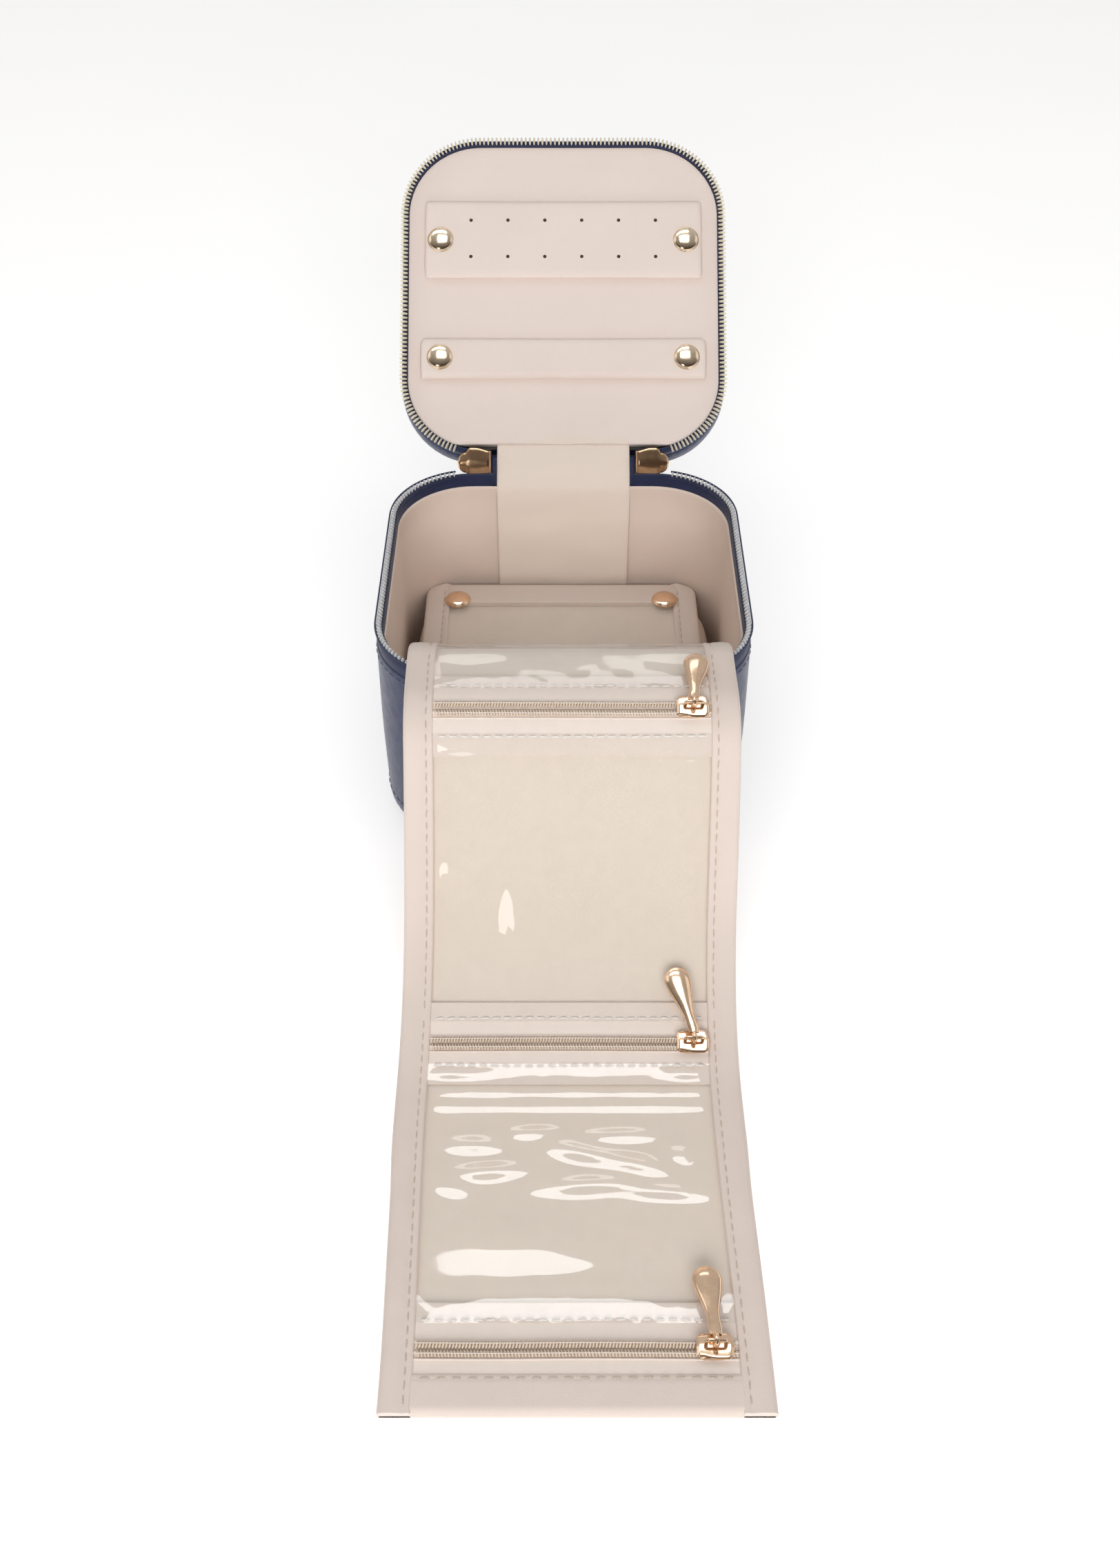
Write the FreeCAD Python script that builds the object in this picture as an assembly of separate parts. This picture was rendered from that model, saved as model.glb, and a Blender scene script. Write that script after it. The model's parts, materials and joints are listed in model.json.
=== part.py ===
import FreeCAD, Part
import math
import os

# Travel jewelry case: a zipped, padded cube whose lid stands open on its rear hinge.  A snapped-in roll of
# four zip pockets leaves the case over the front rim and lies out on the table.
# Millimetres.  Origin: centre of the case's base on the table.  +X right, +Y to the rear hinge, +Z up.

# ---- driving dimensions ----
RIM_HALF_X = 57.0
RIM_HALF_Y = 56.2
CORNER_RADIUS = 27.0
RIM_HEIGHT = 70.2
SHELL_TOP = 64.0
BASE_EDGE_RADIUS = 6.0
FABRIC = 0.8
BOARD = 0.95
LINER = 0.7
LAYER_GAP = 0.05
CUSHION_TOP = 25.0

LID_HALF_X = 55.6
LID_HALF_Y = 56.2
LID_DEPTH = 17.0
LID_EDGE_RADIUS = 5.0
LID_OPEN_ANGLE = 41.1
LID_STANDOFF = 5.0
HINGE_Y = 58.7
HINGE_Z = 71.1
LID_SHELL_TOP = -6.4
LID_PANEL_TOP = -3.5
LID_PANEL_THICK = 1.6
LID_LINER_START = 4.0

STRAP_WIDTH = 45.0
COIL_HEIGHT = 2.5
COIL_WIDTH = 2.4
CASE_SLIDER_INNER_X = 24.6
CASE_SLIDER_LENGTH = 11.2

ROLL_WIDTH = 94.8
ROLL_CENTRE_X = 1.9
ROLL_REAR_CENTRE_X = -0.7
ROLL_THICK = 2.6
BACKING_THICK = 0.8
WINDOW_HEIGHT = 1.9
WINDOW_THICK = 0.35
BINDING_WIDTH = 8.5
TAPE_HEIGHT = 1.9
TAPE_THICK = 0.5
ZIP_CHAIN_THICK = 1.2
ZIP_SLOT = 1.0
ZIP_ROW_WIDTH = 1.55
TAPE_REACH = 7.6
PANEL_GAP = 3.2
ZIP_STATIONS = (63.3, 159.4, 255.5, 345.8)
FOLD_STATIONS = (72.8, 169.5, 265.7)
SNAP_BAR_LENGTH = 12.0

SNAP_CAP_RADIUS = 4.5
SNAP_CAP_HEIGHT = 2.0
POST_RADIUS = 1.6
POST_HEIGHT = 1.1
PULL_LENGTH = 21.0

vec = FreeCAD.Vector
X_AXIS = vec(1, 0, 0)
Z_AXIS = vec(0, 0, 1)


# ---- plain shapes ----
def box(x, y, z):
    """A box between pairs of limits."""
    return Part.makeBox(x[1] - x[0], y[1] - y[0], z[1] - z[0], vec(x[0], y[0], z[0]))


def rounded_block(half_x, half_y, radius, z, centre_y=0.0):
    """An upright block whose plan is a rectangle with round corners."""
    block = box((-half_x, half_x), (centre_y - half_y, centre_y + half_y), z)
    upright = [e for e in block.Edges if abs(e.Vertexes[0].Z - e.Vertexes[1].Z) > 1e-6]
    return block.makeFillet(radius, upright)


def round_off(block, z, radius):
    """Rounds the edge loop of a block that lies at height z."""
    loop = [e for e in block.Edges if all(abs(p.z - z) < 1e-6 for p in e.discretize(3))]
    return block.makeFillet(radius, loop)


def inset_block(size, inset, z, centre_y=0.0):
    """The block inside a rim of size (half x, half y, corner radius), drawn in by inset."""
    half_x, half_y, radius = size
    return rounded_block(half_x - inset, half_y - inset, radius - inset, z, centre_y)


def inset_ring(size, outer, inner, z, centre_y=0.0):
    """A wall that follows the rim, between two insets."""
    return inset_block(size, outer, z, centre_y).cut(
        inset_block(size, inner, (z[0] - 1, z[1] + 1), centre_y))


def inset_cup(size, outer, wall, z, floor, edge_radius, centre_y=0.0):
    """A wall and a floor in one, with a rounded lower edge."""
    outside = round_off(inset_block(size, outer, z, centre_y), z[0], edge_radius)
    inside = inset_block(size, outer + wall, (z[0] + floor, z[1] + 1), centre_y)
    inside = round_off(inside, z[0] + floor, edge_radius - wall)
    return outside.cut(inside)


def cylinder(radius, start, direction, length):
    """A round bar from a start point."""
    return Part.makeCylinder(radius, length, start, direction)


def snap_cap(centre):
    """The domed cap of a press snap, standing on centre along +Z."""
    foot = cylinder(SNAP_CAP_RADIUS, centre, Z_AXIS, 0.5)
    sphere_radius = (SNAP_CAP_RADIUS ** 2 + 1.5 ** 2) / (2 * 1.5)
    ball = Part.makeSphere(sphere_radius, centre + vec(0, 0, SNAP_CAP_HEIGHT - sphere_radius))
    slab = cylinder(SNAP_CAP_RADIUS, centre + vec(0, 0, 0.5), Z_AXIS, SNAP_CAP_HEIGHT)
    return foot.fuse(ball.common(slab)).removeSplitter()


def pull_tab(length):
    """A pull lying along +Y: an eye round the X axis at the origin, a neck and a round head."""
    eye = cylinder(1.7, vec(-0.8, 0, 0), X_AXIS, 1.6)
    neck_end = length - 3.7
    side = [vec(-1.6, 0, 0), vec(-1.5, 0.45 * neck_end, 0), vec(-2.9, neck_end - 2.4, 0)]
    half = Part.Arc(side[0], side[1], side[2]).toShape()
    head = Part.Arc(side[2], vec(0, length, 0), vec(2.9, neck_end - 2.4, 0)).toShape()
    back = Part.Arc(vec(2.9, neck_end - 2.4, 0), vec(1.5, 0.45 * neck_end, 0), vec(1.6, 0, 0)).toShape()
    base = Part.LineSegment(vec(1.6, 0, 0), vec(-1.6, 0, 0)).toShape()
    plate = Part.Face(Part.Wire([half, head, back, base])).extrude(vec(0, 0, 1.6))
    plate.translate(vec(0, 0, -0.8))
    body = plate.fuse(eye)
    hole = cylinder(0.95, vec(-3, 0, 0), X_AXIS, 6)
    return body.cut(hole).removeSplitter()


def bail(half_length, height, post=0.55):
    """A wire arch along X that carries a pull's eye; its bar lies on the X axis, its feet at -height."""
    bar = cylinder(post, vec(-half_length, 0, 0), X_AXIS, 2 * half_length)
    legs = [box((x - post, x + post), (-post, post), (-height, 0)) for x in (-half_length, half_length)]
    ends = [cylinder(post, vec(x - post, 0, 0), X_AXIS, 2 * post) for x in (-half_length, half_length)]
    return bar.fuse(legs + ends).removeSplitter()


# ---- the nodes, each a closed solid or a group of separate ones ----
nodes = {}


def add(name, *solids):
    """Keeps a node: one solid, or several as a group."""
    parts = [s for shape in solids for s in shape.Solids]
    nodes[name] = parts[0] if len(parts) == 1 else Part.makeCompound(parts)


# ---- case body ----
BODY = (RIM_HALF_X, RIM_HALF_Y, CORNER_RADIUS)
SHELL_INSET = 0.4
BOARD_INSET = SHELL_INSET + FABRIC + LAYER_GAP
LINER_INSET = BOARD_INSET + BOARD + LAYER_GAP
WALL_FACE = LINER_INSET + LINER
BASE_BOARD_TOP = 2.6
LINER_FLOOR = BASE_BOARD_TOP + LAYER_GAP
HALF_STRAP = STRAP_WIDTH / 2
SLIDER_OUTER_X = CASE_SLIDER_INNER_X + CASE_SLIDER_LENGTH
ZIP_END_X = SLIDER_OUTER_X + 0.8


def rear_gap(half_width, z, y=20.0):
    """The piece taken out of a rim band at the rear, behind the hinge strap."""
    return box((-half_width, half_width), (y, 80), z)


def build_body():
    """The fabric shell, its board, the lining and the zip tape and teeth of the rim."""
    add("body_outer_shell", inset_cup(BODY, SHELL_INSET, FABRIC, (0, SHELL_TOP), FABRIC, BASE_EDGE_RADIUS))
    add("body_wall_stiffener", inset_ring(BODY, BOARD_INSET, BOARD_INSET + BOARD, (7.0, 60.5)))
    add("body_base_board", inset_block(BODY, 6.6, (FABRIC + LAYER_GAP, BASE_BOARD_TOP)))
    liner_top = SHELL_TOP + 0.5
    add("body_liner", inset_cup(BODY, LINER_INSET, LINER, (LINER_FLOOR, liner_top), LINER, 5.0))
    tape = inset_ring(BODY, 1.45, 2.05, (60.7, RIM_HEIGHT - COIL_HEIGHT - 0.1))
    tape = tape.cut(rear_gap(HALF_STRAP + 0.4, (50, 80)))
    add("body_zip_tape", tape.cut(rear_gap(ZIP_END_X, (66.2, 80))))
    coil = inset_ring(BODY, 0.0, COIL_WIDTH, (RIM_HEIGHT - COIL_HEIGHT, RIM_HEIGHT))
    add("body_zip_coil", coil.cut(rear_gap(ZIP_END_X, (60, 80))))


def build_cushion():
    """The raised padded base on its board."""
    add("cushion_board", inset_block(BODY, 8.0, (LINER_FLOOR + LINER + 0.1, 4.6)))
    pad = inset_block(BODY, 6.0, (4.7, CUSHION_TOP))
    add("base_cushion", round_off(pad, CUSHION_TOP, 3.0))


# ---- hinge between case and lid ----
def hinge_plate(width, angle, near, far, thick):
    """A flat strip that runs out radially from the hinge line, angle measured from +Y towards +Z."""
    plate = box((-width / 2, width / 2), (near, far), (-thick / 2, thick / 2))
    plate.rotate(vec(0, 0, 0), X_AXIS, angle)
    plate.translate(vec(0, HINGE_Y, HINGE_Z))
    return plate


def polar(y, z):
    """The distance and the angle of a point of the YZ plane, seen from the hinge line."""
    return math.hypot(y - HINGE_Y, z - HINGE_Z), math.degrees(math.atan2(z - HINGE_Z, y - HINGE_Y))


def lid_to_world(t, n):
    """A point of the lid's own section: t up the lid from its hinge edge, n out of its inside face."""
    a = math.radians(LID_OPEN_ANGLE)
    start_y = RIM_HALF_Y + LID_STANDOFF * math.cos(a)
    start_z = RIM_HEIGHT + LID_STANDOFF * math.sin(a)
    return start_y + t * math.cos(a) - n * math.sin(a), start_z + t * math.sin(a) + n * math.cos(a)


def place_on_lid(shape):
    """Moves a shape drawn with Y up the lid and Z out of its inside face to the open lid."""
    y, z = lid_to_world(0, 0)
    shape.rotate(vec(0, 0, 0), X_AXIS, LID_OPEN_ANGLE)
    shape.translate(vec(0, y, z))
    return shape


def build_hinge():
    """The lining strap and the outer cloth, each in two leaves that meet the hinge line."""
    strap_thick = 0.7
    strap_y = RIM_HALF_Y - WALL_FACE - 0.1
    bend_z = SHELL_TOP + 2.6
    on_wall = box((-HALF_STRAP, HALF_STRAP), (strap_y - strap_thick, strap_y), (CUSHION_TOP + 0.6, bend_z))
    reach, angle = polar(strap_y, bend_z)
    to_hinge = hinge_plate(STRAP_WIDTH, angle, 1.2, reach, strap_thick)
    add("hinge_strap_body", on_wall.fuse(to_hinge).removeSplitter())
    reach, angle = polar(*lid_to_world(LID_LINER_START - 0.3, LID_PANEL_TOP - 0.3))
    add("hinge_strap_lid", hinge_plate(STRAP_WIDTH, angle, 1.2, reach, strap_thick))
    fabric_width = 2 * CASE_SLIDER_INNER_X - 1.2
    shell_middle = RIM_HALF_Y - SHELL_INSET - FABRIC / 2
    reach, angle = polar(shell_middle, SHELL_TOP + 0.4)
    add("hinge_fabric_body", hinge_plate(fabric_width, angle, 2.6, reach, 0.7))
    reach, angle = polar(*lid_to_world(SHELL_INSET + FABRIC / 2, LID_SHELL_TOP + 0.4))
    add("hinge_fabric_lid", hinge_plate(fabric_width, angle, 2.6, reach, 0.7))


# ---- lid, drawn flat: Y from its hinge edge, Z out of its inside face ----
LID = (LID_HALF_X, LID_HALF_Y, CORNER_RADIUS)
LID_PANEL_INSET = 3.0
LID_TAPE_INSET = 1.45
LID_STRIPS = {
    "earring_panel": {"low": 62.0, "high": 90.8, "width": 97.2, "snap": 75.9},
    "ring_bar": {"low": 26.5, "high": 41.5, "width": 99.6, "snap": 34.2},
}
STRIP_THICK = 2.0
STRIP_SNAP_X = 42.2
EARRING_PITCH = 12.7
EARRING_ROWS = (69.8, 82.8)
EARRING_HOLE_RADIUS = 0.55


def build_lid():
    """The lid's shell, board, foam, lining panel, and its half of the zip."""
    heights = (-LID_DEPTH, LID_SHELL_TOP)
    tray = inset_cup(LID, SHELL_INSET, FABRIC, heights, FABRIC, LID_EDGE_RADIUS, LID_HALF_Y)
    add("lid_outer_shell", place_on_lid(tray))
    board_floor = -LID_DEPTH + FABRIC + LAYER_GAP
    board = inset_block(LID, 5.6, (board_floor, board_floor + 1.6), LID_HALF_Y)
    add("lid_board", place_on_lid(board))
    panel_floor = LID_PANEL_TOP - LID_PANEL_THICK
    foam = inset_block(LID, 6.2, (board_floor + 1.7, panel_floor - 0.1), LID_HALF_Y)
    add("lid_foam", place_on_lid(foam))
    panel = inset_block(LID, LID_PANEL_INSET, (panel_floor, LID_PANEL_TOP), LID_HALF_Y)
    panel = panel.cut(box((-80, 80), (-1, LID_LINER_START), (-20, 5)))
    add("lid_liner_panel", place_on_lid(panel))
    tape = inset_ring(LID, LID_TAPE_INSET, LID_TAPE_INSET + 0.6, (-9.5, -COIL_HEIGHT - 0.1), LID_HALF_Y)
    strap_gap = box((-HALF_STRAP - 0.4, HALF_STRAP + 0.4), (-1, 20), (-20, 5))
    add("lid_zip_tape", place_on_lid(tape.cut(strap_gap)))
    coil = inset_ring(LID, 0.0, COIL_WIDTH, (-COIL_HEIGHT, 0.0), LID_HALF_Y)
    slider_gap = box((-ZIP_END_X, ZIP_END_X), (-1, 20), (-20, 5))
    add("lid_zip_coil", place_on_lid(coil.cut(slider_gap)))


def build_lid_strips():
    """The earring panel and the ring bar, with their snap caps and the posts under the free ends."""
    floor = LID_PANEL_TOP + 0.1
    posts = []
    for name, strip in LID_STRIPS.items():
        block = box((-strip["width"] / 2, strip["width"] / 2), (strip["low"], strip["high"]),
                    (floor, floor + STRIP_THICK))
        block = round_off(block, floor + STRIP_THICK, 0.7)
        socket = cylinder(POST_RADIUS + 0.4, vec(STRIP_SNAP_X, strip["snap"], floor - 1), Z_AXIS, 2.4)
        block = block.cut(socket)
        if name == "earring_panel":
            for row in EARRING_ROWS:
                for column in range(6):
                    x = (column - 2.5) * EARRING_PITCH
                    block = block.cut(cylinder(EARRING_HOLE_RADIUS, vec(x, row, floor - 1), Z_AXIS, 5))
        add(name, place_on_lid(block))
        caps = [snap_cap(vec(x, strip["snap"], floor + STRIP_THICK)) for x in (-STRIP_SNAP_X, STRIP_SNAP_X)]
        add(name + "_snap_caps", *[place_on_lid(cap) for cap in caps])
        post = cylinder(POST_RADIUS, vec(STRIP_SNAP_X, strip["snap"], LID_PANEL_TOP), Z_AXIS, POST_HEIGHT)
        posts.append(place_on_lid(post))
    add("lid_snap_posts", *posts)


# ---- case zip sliders at the two ends of the hinge, and their pulls outside ----
SLIDER_TILT = 25.0
SLIDER_CENTRE = (HINGE_Y - 1.1, HINGE_Z - 0.1)
SLIDER_PLATE = 0.8
CASE_EYE_DEPTH = 3.8


def place_slider(shape, x):
    """Moves a shape drawn with Z towards the inside of the case to a slider's place beside the hinge."""
    shape.rotate(vec(0, 0, 0), X_AXIS, 90 - SLIDER_TILT)
    shape.translate(vec(x, SLIDER_CENTRE[0], SLIDER_CENTRE[1]))
    return shape


def case_slider(x):
    """One slider of the case zip: plates inside and outside, the wedge between, and the pull's bail."""
    half = CASE_SLIDER_LENGTH / 2
    inner = rounded_block(half, 3.9, 2.6, (1.0, 1.0 + SLIDER_PLATE), -0.5)
    outer = rounded_block(half, 3.9, 2.6, (-1.0 - SLIDER_PLATE, -1.0), -0.5)
    wedge = cylinder(1.5, vec(0, 0, -1.1), Z_AXIS, 2.2)
    arch = bail(2.6, CASE_EYE_DEPTH - 1.7)
    arch.translate(vec(0, 0, -CASE_EYE_DEPTH))
    arch.rotate(vec(0, 0, -CASE_EYE_DEPTH), X_AXIS, 180)
    body = inner.fuse([outer, wedge, arch]).removeSplitter()
    return place_slider(body, x)


def build_case_sliders():
    """Both case sliders, parked at the hinge, and the pulls that hang outside."""
    x = CASE_SLIDER_INNER_X + CASE_SLIDER_LENGTH / 2
    add("case_zip_sliders", case_slider(-x), case_slider(x))
    a = math.radians(SLIDER_TILT)
    eye_y = SLIDER_CENTRE[0] + CASE_EYE_DEPTH * math.cos(a)
    eye_z = SLIDER_CENTRE[1] - CASE_EYE_DEPTH * math.sin(a)
    for name, side in (("left", -1), ("right", 1)):
        pull = pull_tab(PULL_LENGTH)
        pull.rotate(vec(0, 0, 0), X_AXIS, -90)
        pull.translate(vec(side * x, eye_y, eye_z))
        add("case_pull_" + name, pull)
    print("case pull hinge y z", round(eye_y, 3), round(eye_z, 3))


# ---- the pocket roll: a strip bent along a path in the YZ plane ----
ROLL_START_Y = 49.0
ROLL_START_Z = CUSHION_TOP + 0.2
SLOPE = 58.0
ROLL_RISE_Y = -38.6
BASE_BEND_RADIUS = 9.0
RIM_BEND_RADIUS = 12.0
RIM_CLEARANCE = 1.8
ROLL_CREST = 15.4
DROP_BEND_RADIUS = 16.0
FLOOR_BEND_RADIUS = 62.0
TABLE_CLEARANCE = 0.1
ROLL_END_Y = -242.4


def roll_path():
    """The roll's underside as (kind, length, radius, turn) runs; a plus turn bends its face inwards."""
    flat = ROLL_START_Y - ROLL_RISE_Y - BASE_BEND_RADIUS
    crest_z = ROLL_START_Z + BASE_BEND_RADIUS
    rise = RIM_HEIGHT + RIM_CLEARANCE - RIM_BEND_RADIUS - crest_z
    runs = [("line", flat, 0, 0), ("arc", 0, BASE_BEND_RADIUS, 90), ("line", rise, 0, 0),
            ("arc", 0, RIM_BEND_RADIUS, -90), ("line", ROLL_CREST, 0, 0),
            ("arc", 0, DROP_BEND_RADIUS, -SLOPE)]
    slope = math.radians(SLOPE)
    y, z = path_end(runs)[:2]
    drop = z - TABLE_CLEARANCE - FLOOR_BEND_RADIUS * (1 - math.cos(slope))
    runs.append(("line", drop / math.sin(slope), 0, 0))
    runs.append(("arc", 0, FLOOR_BEND_RADIUS, SLOPE))
    y = path_end(runs)[0]
    runs.append(("line", y - ROLL_END_Y, 0, 0))
    return runs


def path_end(runs):
    """The point and the heading at the end of some runs."""
    y, z, heading = ROLL_START_Y, ROLL_START_Z, math.pi
    for run in runs:
        y, z, heading = step(y, z, heading, run, 1.0)
    return y, z, heading


def run_length(run):
    """The length of one run of the path."""
    return run[1] if run[0] == "line" else run[2] * math.radians(abs(run[3]))


def step(y, z, heading, run, share):
    """Where a share of a run leads from a point and a heading."""
    if run[0] == "line":
        return y + share * run[1] * math.cos(heading), z + share * run[1] * math.sin(heading), heading
    side = 1 if run[3] > 0 else -1
    centre_y = y + side * run[2] * math.sin(heading)
    centre_z = z - side * run[2] * math.cos(heading)
    turned = heading - share * math.radians(run[3])
    return centre_y - side * run[2] * math.sin(turned), centre_z + side * run[2] * math.cos(turned), turned


def station(at, height=0.0):
    """The point above the roll's underside at a distance along it, and the heading there."""
    y, z, heading = ROLL_START_Y, ROLL_START_Z, math.pi
    for run in RUNS:
        length = run_length(run)
        if at <= length or run is RUNS[-1]:
            y, z, heading = step(y, z, heading, run, at / length)
            break
        y, z, heading = step(y, z, heading, run, 1.0)
        at -= length
    return y + height * math.sin(heading), z - height * math.cos(heading), heading


RUNS = roll_path()
ROLL_LENGTH = sum(run_length(run) for run in RUNS)


def run_breaks(start, end):
    """The stations between start and end where the path changes from one run to the next."""
    breaks, at = [], 0.0
    for run in RUNS:
        at += run_length(run)
        if start + 1e-6 < at < end - 1e-6:
            breaks.append(at)
    return [start] + breaks + [end]


def offset_edges(start, end, height):
    """The line that follows the path at a height, as true lines and arcs."""
    edges = []
    stops = run_breaks(start, end)
    for a, b in zip(stops, stops[1:]):
        first, middle, last = [vec(0, *station(s, height)[:2]) for s in (a, (a + b) / 2, b)]
        straight = abs(station(a)[2] - station(b)[2]) < 1e-9
        curve = Part.LineSegment(first, last) if straight else Part.Arc(first, middle, last)
        edges.append(curve.toShape())
    return edges


def strip(start, end, low, high, x):
    """A solid that follows the path between two stations, two heights and two X limits."""
    lower = offset_edges(start, end, low)
    upper = offset_edges(start, end, high)
    ends = [Part.LineSegment(vec(0, *station(s, low)[:2]), vec(0, *station(s, high)[:2])).toShape()
            for s in (start, end)]
    face = Part.Face(Part.Wire(Part.__sortEdges__(lower + upper + ends)))
    solid = face.extrude(vec(x[1] - x[0], 0, 0))
    solid.translate(vec(x[0], 0, 0))
    return solid


def roll_limits(centre, inset=0.0):
    """The X limits of the roll, drawn in by inset."""
    half = ROLL_WIDTH / 2 - inset
    return centre - half, centre + half


def place_on_roll(shape, at, height, x):
    """Moves a shape drawn with Y back along the roll and Z off its face to a station."""
    y, z, heading = station(at, height)
    shape.rotate(vec(0, 0, 0), X_AXIS, math.degrees(heading) - 180)
    shape.translate(vec(x, y, z))
    return shape


def zip_parts(index, centre):
    """The two tapes and the two rows of coil of one pocket zip."""
    at = ZIP_STATIONS[index]
    half_slot = ZIP_SLOT / 2
    inner = roll_limits(centre, BINDING_WIDTH + 0.1)
    tape_top = TAPE_HEIGHT + TAPE_THICK
    tapes, rows = [], []
    for side in (-1, 1):
        near, far = at + side * half_slot, at + side * TAPE_REACH
        tapes.append(strip(min(near, far), max(near, far), TAPE_HEIGHT, tape_top, inner))
        far = at + side * (half_slot + ZIP_ROW_WIDTH)
        low, high = tape_top + 0.02, tape_top + ZIP_CHAIN_THICK
        rows.append(strip(min(near, far), max(near, far), low, high, inner))
    add("zip_tape_%d" % index, *tapes)
    add("zip_coil_%d" % index, *rows)


ZIP_SLIDER_LENGTH = 9.2
ZIP_SLIDER_WIDTH = 6.6
ZIP_SLIDER_X = 34.1
PULL_EYE_HEIGHT = 7.0
PULL_SWAY = (0.0, -6.0, 16.0, 4.0)
# each pull lies on the face behind its slider; on a bend it follows the face it lies over
PULL_TILT = (0.0, -17.0, 11.0, 0.0)


def zip_slider():
    """A slider over the chain: plates above and below joined by a post that runs in the zip's slot."""
    half_x, half_y = ZIP_SLIDER_LENGTH / 2, ZIP_SLIDER_WIDTH / 2
    under = rounded_block(half_x, half_y, 1.6, (BACKING_THICK + 0.1, TAPE_HEIGHT - 0.45))
    chain_top = TAPE_HEIGHT + TAPE_THICK + ZIP_CHAIN_THICK
    over = rounded_block(half_x, half_y, 1.6, (chain_top + 0.15, chain_top + 0.95))
    flanges = [box((-half_x + 1.6, half_x - 1.6), (y, y + 0.6), (chain_top - 0.8, chain_top + 0.3))
               for y in (-half_y, half_y - 0.6)]
    post = box((-1.2, 1.2), (-0.35, 0.35), (BACKING_THICK + 0.1, chain_top + 0.3))
    arch = bail(2.4, PULL_EYE_HEIGHT - chain_top - 0.6)
    arch.translate(vec(0, 0, PULL_EYE_HEIGHT))
    return under.fuse([over, post, arch] + flanges).removeSplitter()


def build_zip_slider(index, centre):
    """A pocket zip's slider and its pull, which lies back along the roll."""
    at = ZIP_STATIONS[index]
    x = centre + ZIP_SLIDER_X
    add("zip_slider_%d" % index, place_on_roll(zip_slider(), at, 0.0, x))
    pull = pull_tab(PULL_LENGTH)
    droop = math.degrees(math.atan2(PULL_EYE_HEIGHT - ROLL_THICK - 1.4, PULL_LENGTH))
    sway = PULL_SWAY[index]
    head = pull.common(box((-20, 20), (2.2, 60), (-5, 5)))
    head.rotate(vec(0, 2.2, 0), Z_AXIS, sway)
    eye = pull.common(box((-20, 20), (-5, 2.6), (-5, 5)))
    pull = eye.fuse(head).removeSplitter()
    pull.rotate(vec(0, 0, 0), X_AXIS, PULL_TILT[index] - droop)
    add("zip_pull_%d" % index, place_on_roll(pull, at, PULL_EYE_HEIGHT, x))
    y, z, heading = station(at, PULL_EYE_HEIGHT)
    print("zip pull hinge", index, round(x, 3), round(y, 3), round(z, 3), round(math.degrees(heading), 2))


def build_pocket(letter, start, end, centre, window):
    """One pocket of the roll: its backing, the bindings along both sides and its clear window."""
    add("roll_backing_" + letter, strip(start, end, 0.0, BACKING_THICK, roll_limits(centre)))
    outer, inner = roll_limits(centre), roll_limits(centre, BINDING_WIDTH)
    low = BACKING_THICK + 0.02
    add("roll_bindings_" + letter, strip(start, end, low, ROLL_THICK, (outer[0], inner[0])),
        strip(start, end, low, ROLL_THICK, (inner[1], outer[1])))
    clear = roll_limits(centre, BINDING_WIDTH + 0.1)
    top = WINDOW_HEIGHT + WINDOW_THICK
    add("pocket_window_" + letter, strip(window[0], window[1], WINDOW_HEIGHT, top, clear))


def build_roll():
    """The four pockets, and the snap bar and the hem at the roll's ends."""
    half_gap = PANEL_GAP / 2
    starts = [0.0] + [s + half_gap for s in FOLD_STATIONS]
    ends = [s - half_gap for s in FOLD_STATIONS] + [ROLL_LENGTH]
    starts[1] = ends[0] + 0.1
    window_starts = [SNAP_BAR_LENGTH + 0.2] + [s + 0.3 for s in starts[1:]]
    for index, letter in enumerate("abcd"):
        centre = ROLL_REAR_CENTRE_X if index == 0 else ROLL_CENTRE_X
        window = (window_starts[index], ZIP_STATIONS[index] - TAPE_REACH - 0.1)
        build_pocket(letter, starts[index], ends[index], centre, window)
        zip_parts(index, centre)
        build_zip_slider(index, centre)
    build_snap_bar()
    clear = roll_limits(ROLL_CENTRE_X, BINDING_WIDTH + 0.1)
    hem_start = ZIP_STATIONS[3] + TAPE_REACH + 0.1
    low = BACKING_THICK + 0.02
    add("roll_end_hem", strip(hem_start, ROLL_LENGTH, low, ROLL_THICK, clear))
    for at in FOLD_STATIONS[1:]:
        y, z, heading = station(at, ROLL_THICK / 2)
        print("roll fold", round(y, 3), round(z, 3), round(math.degrees(heading), 2))


ROLL_SNAP_X = 36.0
ROLL_SNAP_STATION = 11.2
REAR_CORNER_RADIUS = 8.0


def round_rear_corners(name, centre):
    """Rounds the two free corners at the rear edge of the roll."""
    def is_corner(edge):
        first, last = [v.Point for v in edge.Vertexes]
        on_side = abs(abs(first.x - centre) - ROLL_WIDTH / 2) < 1e-6
        return on_side and abs(first.x - last.x) < 1e-6 and min(first.y, last.y) > ROLL_START_Y - 1e-6
    solids = nodes[name].Solids
    add(name, *[s.makeFillet(REAR_CORNER_RADIUS, [e for e in s.Edges if is_corner(e)]) for s in solids])


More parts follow.
